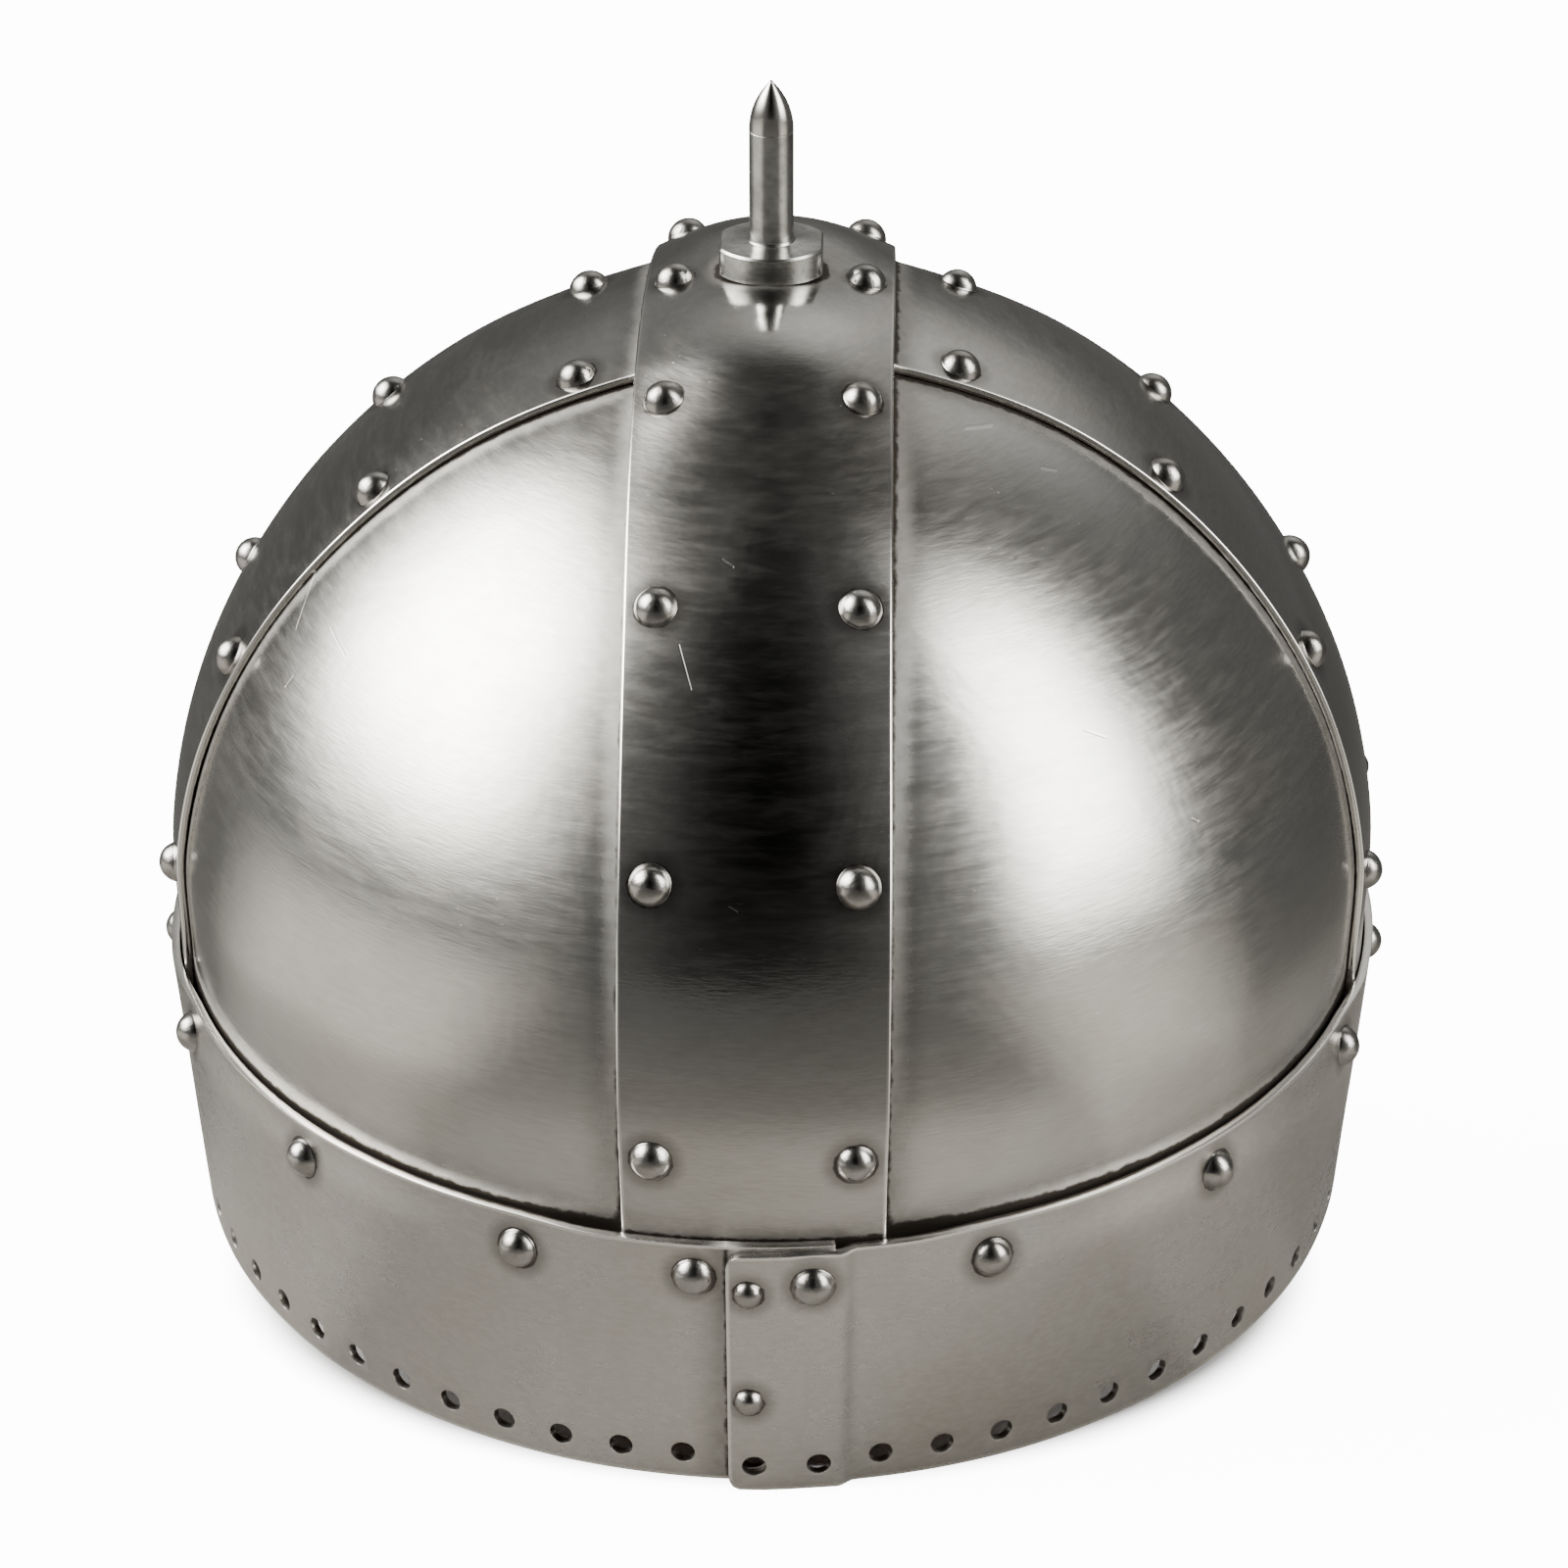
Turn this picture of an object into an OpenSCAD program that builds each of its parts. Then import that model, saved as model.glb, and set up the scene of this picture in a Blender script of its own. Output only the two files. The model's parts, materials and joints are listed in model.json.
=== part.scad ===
// Spectacle helmet: four bowl plates held by a crest strip, two side strips and a brow band,
// with a spectacle guard at the brow, a bolted spike at the crown and a laced leather liner.
// Millimetres. The wearer faces -Y. The helmet stands as on a table, tilted back,
// on the two loops of its guard and the rear edge of its brow band.

/* [Bowl] */
// Outer half-width of the bowl plates at their widest level
bowl_a = 105.5; // [98:0.5:113]
// Outer half-length of the bowl plates at their widest level
bowl_b = 116; // [108:0.5:124]
// Height of the crown above the widest level
bowl_c = 115.5; // [100:0.5:122]
// Height of the widest level above the lower edge of the brow band
bowl_level = 51.5; // [48:0.5:60]
// Thickness of the bowl plates
plate_t = 1.5; // [1:0.1:2.2]
// Gap between neighbouring plates, hidden under the strips
plate_seam = 2; // [1:0.5:6]
// Length of plate and strip tucked behind the brow band
plate_tuck = 14; // [11:0.5:20]

/* [Strips] */
// Thickness of the crest strip and the side strips
strip_t = 1.5; // [1:0.1:2.2]
// Width of the crest strip from nape to forehead
crest_w = 43; // [36:0.5:50]
// Width of each side strip
side_w = 50; // [44:0.5:56]
// Distance of the side strips' middle line behind the spike
side_y = 3.5; // [0:0.5:8]
// Distance of the rivets from the edges of a strip
rivet_inset = 5.2; // [4.5:0.1:7]

/* [Brow band] */
// Height of the brow band
band_h = 48.3; // [44:0.1:56]
// Thickness of the brow band
band_t = 1.5; // [1:0.1:2.2]
// How much narrower the band's lower edge is than its upper edge, on each side
band_taper = 4; // [1:0.5:6]
// Distance of the band's rivets below its upper edge
band_rivet_drop = 6.3; // [5:0.1:8]
// How far the outer end of the band runs past the middle of the nape
lap_over = 4.4; // [3.5:0.1:8]
// How far the inner end of the band runs past the middle of the nape
lap_under = 13.2; // [12.5:0.1:18]
// How much lower the outer end of the band sits than the ring
lap_drop = 1; // [0:0.1:2]

/* [Mail holes] */
// Diameter of the holes for the mail curtain
mail_hole_d = 4; // [3:0.1:5]
// Height of the holes' centres above the lower edge
mail_hole_z = 5.2; // [4:0.1:7]
// Number of holes on each side of the one in the middle of the nape
mail_hole_n = 20; // [10:1:20]
// Angle from one hole to the next around the band
mail_hole_step = 5.7; // [5:0.1:5.8]

/* [Spectacle guard] */
// Thickness of the guard
guard_t = 2; // [1.5:0.1:3]
// Extra height of the raised brows
brow_rise = 1.6; // [0.8:0.1:3]
// Half-width of the plate that is riveted to the band
guard_half_w = 80; // [78:0.5:84]
// Height of the plate's upper edge above the band's lower edge
guard_top = 27; // [26:0.5:30]
// Distance of each eye's middle from the nose line
eye_x = 37; // [35:0.5:39]
// Depth of each eye's middle below the band's lower edge
eye_drop = 20; // [17:0.5:24]
// Half-width of an eye opening
eye_rx = 22.5; // [20:0.5:24]
// Half-height of an eye opening
eye_rz = 15.5; // [13:0.5:17]
// Width of the loop round an eye opening, at the side
loop_w = 8.5; // [7:0.5:9.5]
// Height of the loop below an eye opening
loop_low_h = 10.5; // [8:0.5:12]
// Depth of the nose guard's tip below the band's lower edge
nose_drop = 48; // [44:0.5:49]
// How far the ridge of the nose guard stands forward at its tip
nose_rise = 11; // [6:0.5:14]

/* [Spike] */
// Diameter of the spike's rod
rod_d = 7.6; // [6:0.1:9]
// Height of the spike above its flange
rod_h = 28.5; // [20:0.5:40]
// Length of the pointed tip
tip_h = 9.7; // [6:0.1:14]
// Diameter of the flange
flange_d = 19.6; // [18:0.1:24]
// Width of the flange across its two flats
flange_flats = 17.6; // [15:0.1:17.9]
// Thickness of the flange
flange_t = 5; // [3:0.1:6]
// Diameter of the threaded shank below the flange
shank_d = 6; // [5:0.5:7]
// Diameter of the washer under the crown
washer_d = 24; // [18:0.5:28]
// Thickness of the washer under the crown
washer_t = 1.6; // [1:0.1:2.5]
// Width across the flats of the nut
nut_flats = 10; // [9.5:0.5:13]
// Height of the nut
nut_h = 5; // [4:0.5:7]

/* [Rivets] */
// Diameter of a rivet's head
rivet_head_d = 7; // [6:0.1:8.5]
// Height of a rivet's head
rivet_head_h = 2.7; // [1.8:0.1:3.3]
// Diameter of a rivet's shank
rivet_shank_d = 4; // [3:0.1:4.5]
// Diameter of the two small rivets at the band's seam
seam_head_d = 5; // [4:0.1:6]
// Diameter of the shanks of the small rivets
seam_shank_d = 2.8; // [2:0.1:3.2]

/* [Liner] */
// Thickness of the liner's leather
leather_t = 2; // [1.5:0.1:2.6]
// Height of the liner band's lower edge above the brow band's lower edge
liner_low = 10; // [9:0.5:14]
// Distance of the liner band's upper edge below the brow band's upper edge
liner_drop = 1.3; // [0:0.1:1.6]
// Height of the tongues' tips' level above the liner's sewn line
tongue_rise = 104; // [90:0.5:106]
// Distance of the lace from the middle of the crown
lace_r = 27; // [24:0.5:32]
// Diameter of the lace
lace_d = 2.4; // [1.8:0.1:3]
// Diameter of the washers on the leather
liner_washer_d = 9; // [8:0.1:11]
// Thickness of the washers on the leather
liner_washer_t = 0.8; // [0.5:0.1:1.2]

/* [Hidden] */
$fn = 96;

lay = 0.05;                     // clearance between sheets that lie on each other
hole_play = 0.1;                // play of a rivet's shank in its hole, on the diameter
crown_ease = 0.3;               // extra lift of the crest strip over the side strips
band_play = 0.16;               // least clearance of the brow band round the strips
big = 400;                      // larger than the helmet
drill_h = 12;                   // length of a cut for a rivet or a mail hole
drill_over = 4;                 // how much of it lies outside the surface

crest_angles = [20, 40.5, 63, 84.5];    // rivets down the crest, from the crown
side_angles = [18, 40, 61, 82.5];       // rivets down the sides, from the crown
band_angles = [5, 21, 45, 69];          // rivets round the band, from the middle of nape and brow
crown_rivet_y = 0;                      // crown rivets, one on each side of the spike
guard_rivet_x = [-65, -33, 0, 33, 65];
guard_rivet_z = 18;
seam_rivet_x = 0.8;
seam_rivet_drops = [7.3, 29.5];         // small rivets of the seam, below the band's upper edge
joggle = 3.5;                   // length of the step where the band's outer end lifts
lap_slit = 0.6;                 // gap in front of the band's inner end

steel = [0.62, 0.61, 0.59];
steel_light = [0.70, 0.69, 0.67];
zinc = [0.74, 0.75, 0.74];
leather_c = [0.36, 0.22, 0.12];
lace_c = [0.22, 0.13, 0.08];

band_z = band_h - band_rivet_drop;      // height of the band's rivets
tuck_z = band_h - plate_tuck;           // lower ends of plates and strips

// Semi-axes of the bowl's surface at offset g, with its crown lifted
function axes(g, lift = 0) = [bowl_a + g, bowl_b + g, bowl_c + g + lift];
crest_lift = strip_t + crown_ease;
crest_out = axes(lay + strip_t, crest_lift);
side_out = axes(lay + strip_t);
plate_in = axes(-plate_t);

// The band's outer half-width and half-length at height z and offset g. It narrows downwards and
// clears the strips' tucked ends at every height
function band_scale(z) = 1 - band_taper / bowl_a * (1 - z / band_h);
function strip_reach(z, k) = crest_out[k] / band_scale(z)
    * sqrt(1 - pow((bowl_level - z) / crest_out[2], 2));
band_seat = band_play + max([for (i = [0:8]) let (z = tuck_z + i / 8 * (band_h - tuck_z))
    max(strip_reach(z, 0) - bowl_a, strip_reach(z, 1) - bowl_b)]);
function band_axes(g, z) = [(bowl_a + band_seat + g) * band_scale(z),
    (bowl_b + band_seat + g) * band_scale(z)];

// A point is kept as [place, outward normal]
function unit(v) = v / norm(v);
function bowl_normal(p, e) = unit([p[0] / pow(e[0], 2), p[1] / pow(e[1], 2),
    (p[2] - bowl_level) / pow(e[2], 2)]);
function with_normal(p, e) = [p, bowl_normal(p, e)];
function crest_point(x, angle, dir, e) = let (k = sqrt(1 - pow(x / e[0], 2)))
    with_normal([x, dir * e[1] * k * sin(angle), bowl_level + e[2] * k * cos(angle)], e);
function side_point(y, angle, dir, e) = let (k = sqrt(1 - pow(y / e[1], 2)))
    with_normal([dir * e[0] * k * sin(angle), y, bowl_level + e[2] * k * cos(angle)], e);
function band_point(angle, z, g) = let (e = band_axes(g, z), s = band_taper / bowl_a / band_h,
    c = cos(angle) / e[0], q = sin(angle) / e[1], r = band_scale(z))
    [[e[0] * cos(angle), e[1] * sin(angle), z], unit([c, q, -s / r])];
// Height of the bowl's surface over a place
function bowl_z(x, y, e) = bowl_level + e[2] * sqrt(1 - pow(x / e[0], 2) - pow(y / e[1], 2));
// Distance along the normal from a point down to an inner bowl surface
function depth_to(pn, e) = let (
    q = [for (i = [0:2]) (pn[0][i] - (i == 2 ? bowl_level : 0)) / e[i]],
    d = [for (i = [0:2]) pn[1][i] / e[i]],
    a = d * d, b = q * d, c = q * q - 1) (b - sqrt(b * b - a * c)) / a;

crest_rivet_x = crest_w / 2 - rivet_inset;
side_rivet_y = [side_y - side_w / 2 + rivet_inset, side_y + side_w / 2 - rivet_inset];
function crest_rivets(dir) = [for (s = [-1, 1], a = crest_angles)
    crest_point(s * crest_rivet_x, a, dir, crest_out)];
function angle_at(y) = asin(y / crest_out[1]);
crown_rivets = [for (s = [-1, 1]) crest_point(s * crest_rivet_x, angle_at(crown_rivet_y), 1, crest_out)];
function side_rivets(dir) = [for (y = side_rivet_y, a = side_angles) side_point(y, a, dir, side_out)];
lap_g = 2 * band_t + lay;
// Angle and offset of each rivet of the band; one sits at the middle of each side strip
side_turn = asin(side_y / band_axes(band_t, band_z)[1]);
band_rivet_rows = concat([for (mid = [90, 270], a = band_angles, s = [-1, 1]) [mid + s * a,
    mid == 90 && a == band_angles[0] && s == 1 ? lap_g : band_t]],
    [[side_turn, band_t], [180 - side_turn, band_t]]);
band_rivets = [for (r = band_rivet_rows) band_point(r[0], band_z, r[1])];
function angle_of(x, g, z) = acos(x / band_axes(g, z)[0]);
seam_rivets = [for (d = seam_rivet_drops) let (z = band_h - d)
    band_point(angle_of(seam_rivet_x, lap_g, z), z, lap_g)];
guard_rivets = [for (x = guard_rivet_x)
    band_point(-angle_of(x, band_t + lay + guard_t, guard_rivet_z), guard_rivet_z,
        band_t + lay + guard_t)];

// The liner band lies inside the tucked plates and follows the brow band's taper
liner_gap = 0.3;
plate_foot = plate_in[0] * sqrt(1 - pow((bowl_level - tuck_z) / plate_in[2], 2));
liner_out = (plate_foot - liner_gap) / band_scale(tuck_z) - bowl_a - band_seat;
liner_in = liner_out - leather_t;

// Axes of the tongues' outer side and the level that they are sewn at
tongue_n = 8;
liner_high = band_h - liner_drop;
sew_drop = 9;                   // distance of the sewn level below the liner band's upper edge
sew_z = liner_high - sew_drop;
tongue_foot = 5;                // how far the tongues reach below the sewn level
tongue_gap = 0.3;
tongue_a = band_axes(liner_in, sew_z)[0] - tongue_gap;
tongue_b = band_axes(liner_in, sew_z)[1] - tongue_gap;
tongue_low = sew_z - tongue_foot;
tongue_tip_r = lace_r - 6;
tongue_tip_half = 7;
tongue_clear = 2;               // half the gap between neighbouring tongues at the rim
function tongue_z(r) = sew_z + tongue_rise * sqrt(1 - pow(r / tongue_a, 2));
slot_l = 10;                    // length of the lace's slot in a tongue
slot_w = lace_d + 1.2;
lace_swing = 3.6;               // how far the lace weaves above and below the leather

// The guard's shell starts on the band and follows its taper downwards
guard_in = band_t + lay;
loop_z = -eye_drop;
loop_rx = eye_rx + loop_w;
loop_bottom = loop_z - eye_rz - loop_low_h;
nose_half = eye_x - eye_rx - 2.5;
nose_top = 3;
corner_r = 8;                   // radius of the plate's corners
fillet_r = 6;                   // radius of the corner between the plate and a loop
fillet_bite = 0.1;              // how far a corner's circle reaches into the plate and the loop
plate_low = 2;                  // height of the plate's lower edge beside the loops

// The standing attitude: the plane through the lap's lower edge and the loops' lower edges
rear_foot = [band_axes(lap_g, -lap_drop)[1], -lap_drop];
function loop_edge(x) = let (z = loop_z - (eye_rz + loop_low_h) * sqrt(1 - pow((x - eye_x) / loop_rx, 2)),
    e = band_axes(guard_in, z)) [-e[1] * sqrt(1 - pow(x / e[0], 2)), z];
function tilt_for(p) = atan2(rear_foot[1] - p[1], rear_foot[0] - p[0]);
foot_xs = [for (i = [-2:12]) eye_x + i];
tilt = max([for (x = foot_xs) tilt_for(loop_edge(x))]);
lift = rear_foot[0] * sin(tilt) - rear_foot[1] * cos(tilt);
function stood_y(p) = p[1] * cos(tilt) + p[2] * sin(tilt);
nose_tip_y = -(band_axes(guard_in + guard_t, -nose_drop)[1]) - nose_rise;
front_reach = stood_y([0, nose_tip_y, -nose_drop]);
crest_back = [for (r = crest_rivets(1)) stood_y(r[0] + r[1] * rivet_head_h)];
bowl_back = bowl_level * sin(tilt) + sqrt(pow(crest_out[1] * cos(tilt), 2)
    + pow(crest_out[2] * sin(tilt), 2));
middle_y = (front_reach + max(bowl_back, max(crest_back))) / 2;

module stood() { translate([0, -middle_y, lift]) rotate([-tilt, 0, 0]) children(); }

module bowl_solid(e) {
    translate([0, 0, bowl_level]) scale(e / bowl_a) sphere(r = bowl_a);
}

module slab(x0, x1, y0, y1, z0, z1) { translate([x0, y0, z0]) cube([x1 - x0, y1 - y0, z1 - z0]); }

// A slab of one side or quarter: sx and sy are 1 or -1 and turn the ranges of x and y round
module sided_slab(sx, sy, x0, x1, y0, y1, z0, z1) {
    slab(min(sx * x0, sx * x1), max(sx * x0, sx * x1), min(sy * y0, sy * y1), max(sy * y0, sy * y1),
        z0, z1);
}

// Solid inside the band's cone at offset g, from z0 to z1
module band_solid(g, z0, z1) {
    e0 = band_axes(g, z0);
    e1 = band_axes(g, z1);
    translate([0, 0, z0]) scale([1, e0[1] / e0[0], 1]) cylinder(r1 = e0[0], r2 = e1[0], h = z1 - z0);
}

module band_wall(g0, g1, z0, z1) {
    difference() {
        band_solid(g1, z0, z1);
        band_solid(g0, z0 - 1, z1 + 1);
    }
}

// The same wall as a whole ring, joined from its four quarters
module band_ring(g0, g1, z0, z1) {
    for (sx = [-1, 1], sy = [-1, 1]) intersection() {
        band_wall(g0, g1, z0, z1);
        sided_slab(sx, sy, 0, big / 2, 0, big / 2, -big, big);
    }
}

module at(pn) { translate(pn[0]) rotate([0, acos(pn[1][2]), atan2(pn[1][1], pn[1][0])]) children(); }

// Drilled holes for rivets, through whatever lies below their heads
module drilled(points, d, deep = drill_h) {
    for (p = points) at(p) translate([0, 0, -deep])
        cylinder(d = d + hole_play, h = deep + drill_over, $fn = 32);
}

module dome(d, h) {
    r = (d * d / 4 + h * h) / (2 * h);
    intersection() {
        translate([0, 0, h - r]) sphere(r = r, $fn = 48);
        cylinder(d = d * 2, h = h + 1, $fn = 48);
    }
}

// A set rivet: domed head on the sheet, shank, and a peened tail below depth
tail_h = 1.1;
tail_d = rivet_head_d - 0.6;
module rivet(depth, d = rivet_head_d, h = rivet_head_h, shank = rivet_shank_d, tail = true) {
    translate([0, 0, lay]) dome(d, h);
    translate([0, 0, -depth - (tail ? lay * 3 : 0)]) cylinder(d = shank, h = depth + lay * 5, $fn = 32);
    if (tail) translate([0, 0, -depth - lay * 2]) rotate([180, 0, 0]) dome(tail_d, tail_h);
}

module rivets_to(points, e) { for (p = points) at(p) rivet(depth_to(p, e)); }

module crown_hole() {
    translate([0, 0, bowl_level]) cylinder(d = shank_d + 2 * hole_play, h = big / 2, $fn = 48);
}

// One quarter of the bowl: sx is 1 on the wearer's left, sy is 1 at the rear
module plate(sx, sy) {
    color(steel) stood() difference() {
        intersection() {
            difference() {
                bowl_solid(axes(0));
                bowl_solid(plate_in);
            }
            sided_slab(sx, sy, plate_seam / 2, big / 2, plate_seam / 2, big / 2, tuck_z, big);
        }
        crown_hole();
        drilled(concat(crest_rivets(sy), crown_rivets, side_rivets(sx)), rivet_shank_d);
        drilled(band_rivets, rivet_shank_d);
    }
}

// Front or rear half of the crest strip's bent sheet
module crest_half(dir) {
    intersection() {
        difference() {
            bowl_solid(crest_out);
            bowl_solid(axes(lay, crest_lift));
        }
        sided_slab(1, dir, -crest_w / 2, crest_w / 2, 0, big / 2, tuck_z, big);
    }
}

module crest_strip() {
    color(steel_light) stood() difference() {
        union() {
            crest_half(1);
            crest_half(-1);
        }
        crown_hole();
        drilled(concat(crest_rivets(1), crest_rivets(-1), crown_rivets), rivet_shank_d);
        drilled(band_rivets, rivet_shank_d);
    }
}

module side_strip(dir) {
    color(steel_light) stood() difference() {
        intersection() {
            difference() {
                bowl_solid(side_out);
                bowl_solid(axes(lay));
            }
            sided_slab(dir, 1, plate_seam / 2, big / 2, side_y - side_w / 2, side_y + side_w / 2,
                tuck_z, big);
        }
        crown_hole();
        drilled(concat(crown_rivets, side_rivets(dir)), rivet_shank_d);
        drilled(band_rivets, rivet_shank_d);
    }
}

module mail_holes() {
    for (i = [-mail_hole_n:mail_hole_n])
        at(band_point(90 + i * mail_hole_step, mail_hole_z, lap_g))
            translate([0, 0, drill_over - drill_h]) cylinder(d = mail_hole_d, h = drill_h, $fn = 32);
}

module brow_band() {
    color(steel) stood() difference() {
        union() {
            band_ring(0, band_t, 0, band_h);
            intersection() {
                band_wall(band_t / 2, lap_g, -lap_drop, band_h - lap_drop);
                slab(-lap_under - lap_slit - joggle, lap_over, 0, big / 2, -big, big);
            }
        }
        intersection() {
            band_wall(band_t, band_t + lay, -big / 8, big / 4);
            slab(-lap_under - lap_slit, lap_over + 1, 0, big / 2, -big, big);
        }
        intersection() {
            band_wall(-1, band_t + lay, -big / 8, big / 4);
            slab(-lap_under - lap_slit, -lap_under, 0, big / 2, -big, big);
        }
        mail_holes();
        drilled(band_rivets, rivet_shank_d);
        drilled(guard_rivets, rivet_shank_d);
        drilled(seam_rivets, seam_shank_d, 5);
    }
}

// Outlines of the guard, seen from the front with Y standing for height
module ellipse(rx, ry) { scale([rx / 10, ry / 10]) circle(r = 10, $fn = 128); }

module guard_plate_outline() {
    w = guard_half_w - corner_r;
    low = plate_low + corner_r;
    high = guard_top - corner_r;
    bridge_low = loop_z + eye_rz + 0.5;
    translate([-guard_half_w, low]) square([2 * guard_half_w, high - low]);
    translate([-w, plate_low]) square([2 * w, guard_top - plate_low]);
    for (s = [-1, 1], z = [low, high]) translate([s * w, z]) circle(r = corner_r, $fn = 64);
    translate([-eye_x, bridge_low]) square([2 * eye_x, plate_low + 1 - bridge_low]);
}

// A loop's outer edge and its outward direction at angle u, from the eye's middle
function loop_point(u) = [loop_rx * cos(u), (eye_rz + loop_low_h) * sin(u)];
function loop_outward(u) = unit([cos(u) / loop_rx, sin(u) / (eye_rz + loop_low_h)]);
function fillet_centre(u) = loop_point(u) + fillet_r * loop_outward(u);
// The angle at which a fillet touches both the loop and the plate's lower edge
function fillet_angle(lo, hi, n) = let (m = (lo + hi) / 2) n == 0 ? m
    : fillet_centre(m)[1] + fillet_r + loop_z > plate_low ? fillet_angle(lo, m, n - 1)
    : fillet_angle(m, hi, n - 1);

module guard_fillet() {
    u = fillet_angle(0, 90, 24);
    c = fillet_centre(u);
    inner = loop_point(u) - loop_outward(u);
    difference() {
        polygon([[0, c[1] + fillet_r + 1], [c[0], c[1] + fillet_r + 1], c, inner, [0, 0]]);
        translate(c) circle(r = fillet_r + fillet_bite, $fn = 64);
    }
}

module guard_outline() {
    difference() {
        union() {
            guard_plate_outline();
            for (s = [-1, 1]) translate([s * eye_x, loop_z]) {
                ellipse(loop_rx, eye_rz + loop_low_h);
                scale([s, 1]) guard_fillet();
            }
        }
        for (s = [-1, 1]) translate([s * eye_x, loop_z]) ellipse(eye_rx, eye_rz);
        translate([-nose_half, -big]) square([2 * nose_half, big]);
    }
}

module brow_outline() {
    for (s = [-1, 1]) translate([s * eye_x, loop_z]) intersection() {
        difference() {
            ellipse(loop_rx, eye_rz + loop_low_h - 1);
            ellipse(eye_rx + 1, eye_rz + 3);
        }
        translate([-big / 2, 2]) square([big, big]);
    }
}

module guard_part(g0, g1) {
    intersection() {
        band_wall(g0, g1, loop_bottom - 5, guard_top + 5);
        rotate([90, 0, 0]) linear_extrude(height = big / 2) children();
    }
}

// The ridged nose guard: a sheet folded along the nose line
function shell_y(x, z, g) = let (e = band_axes(g, z)) -e[1] * sqrt(1 - pow(x / e[0], 2));
nose_edge = nose_half + 1.5;
nose_root = 0.4;                // how deep the ridged sheet's edges lie inside the guard's sheet
// Rows down the nose: height, half-width, and how far the ridge stands forward
nose_rows = [[nose_top, nose_edge, 0], [-1, nose_edge, 0.03 * nose_rise],
    [-14, nose_edge, 0.35 * nose_rise], [-nose_drop + 16, nose_edge, 0.75 * nose_rise],
    [-nose_drop + 10, nose_edge, 0.9 * nose_rise], [-nose_drop + 3, nose_half - 1, nose_rise],
    [-nose_drop, nose_half - 5, nose_rise]];
// A row has six points: the left edge, the ridge and the right edge, outside and then inside
function nose_g(outer, k, row) = guard_in + (outer ? guard_t : 0)
    - (k == 0 && row > 0 ? 0 : (outer ? nose_root : -nose_root));
module nose_guard() {
    n = len(nose_rows);
    pts = [for (i = [0:n - 1], outer = [true, false], k = [-1, 0, 1]) let (r = nose_rows[i])
        [k * r[1], shell_y(k * r[1], r[0], nose_g(outer, k, i)) - (k == 0 ? r[2] : 0), r[0]]];
    wall = [for (i = [0:n - 2], f = [[0, 1], [1, 2], [5, 4], [4, 3], [3, 0], [2, 5]])
        [6 * i + f[0], 6 * i + f[1], 6 * (i + 1) + f[1], 6 * (i + 1) + f[0]]];
    tris = [for (q = wall, t = [[0, 1, 2], [0, 2, 3]]) [q[t[0]], q[t[1]], q[t[2]]]];
    top = [[0, 4, 1], [0, 3, 4], [1, 5, 2], [1, 4, 5]];
    last = 6 * (n - 1);
    low = [for (t = top) [last + t[0], last + t[2], last + t[1]]];
    polyhedron(points = pts, faces = concat(tris, top, low), convexity = 4);
}

module spectacle_guard() {
    color(steel_light) stood() difference() {
        union() {
            guard_part(guard_in, guard_in + guard_t) guard_outline();
            guard_part(guard_in + guard_t / 2, guard_in + guard_t + brow_rise) brow_outline();
            nose_guard();
        }
        drilled(guard_rivets, rivet_shank_d);
    }
}

// The spike's seat is the crest strip's top under the flange
seat_z = bowl_z(0, 0, crest_out) + lay;
washer_z = bowl_z(washer_d / 2, 0, plate_in) - lay;
nut_z = washer_z - washer_t - lay;
shank_low = nut_z - nut_h - 2.5;
tip_r = 0.7;

module spike() {
    r = rod_d / 2;
    ogive_r = (tip_h * tip_h + r * r) / (2 * r);
    color(zinc) stood() translate([0, 0, seat_z]) {
        intersection() {
            cylinder(d = flange_d, h = flange_t, $fn = 96);
            slab(-flange_flats / 2, flange_flats / 2, -big, big, 0, flange_t);
        }
        cylinder(r = r, h = flange_t + rod_h - tip_h, $fn = 64);
        translate([0, 0, flange_t + rod_h - tip_h]) rotate_extrude($fn = 64) intersection() {
            translate([r - ogive_r, 0]) circle(r = ogive_r, $fn = 256);
            square([r, tip_h - tip_r / 3]);
        }
        translate([0, 0, shank_low - seat_z]) cylinder(d = shank_d, h = seat_z - shank_low + 1, $fn = 48);
    }
}

module spike_washer() {
    color(zinc) stood() translate([0, 0, washer_z - washer_t]) difference() {
        cylinder(d = washer_d, h = washer_t);
        translate([0, 0, -1]) cylinder(d = shank_d + 2 * hole_play, h = washer_t + 2);
    }
}

module spike_nut() {
    color(zinc) stood() translate([0, 0, nut_z - nut_h]) difference() {
        cylinder(d = nut_flats / cos(30), h = nut_h, $fn = 6);
        translate([0, 0, -1]) cylinder(d = shank_d + hole_play, h = nut_h + 2, $fn = 48);
    }
}

module rivets_crest(dir) { color(steel_light) stood() rivets_to(crest_rivets(dir), plate_in); }
module rivets_crown() { color(steel_light) stood() rivets_to(crown_rivets, plate_in); }
module rivets_side(dir) { color(steel_light) stood() rivets_to(side_rivets(dir), plate_in); }

// Depth of a band rivet from its head to the inner side of the washer on the leather
function band_depth(g) = g - liner_in + liner_washer_t + 2 * lay;
module rivets_brow_band() {
    color(steel_light) stood() for (r = band_rivet_rows) at(band_point(r[0], band_z, r[1]))
        rivet(band_depth(r[1]));
}

module rivets_band_seam() {
    color(steel_light) stood() for (p = seam_rivets) at(p)
        rivet(lap_g - lay, seam_head_d, seam_head_d * 0.38, seam_shank_d, false);
}

module rivets_guard() {
    color(steel_light) stood() for (p = guard_rivets) at(p) rivet(guard_in + guard_t + lay);
}

module liner_band() {
    color(leather_c) stood() difference() {
        band_ring(liner_in, liner_out, liner_low, liner_high);
        drilled(band_rivets, rivet_shank_d, drill_h + drill_over);
    }
}

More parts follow.
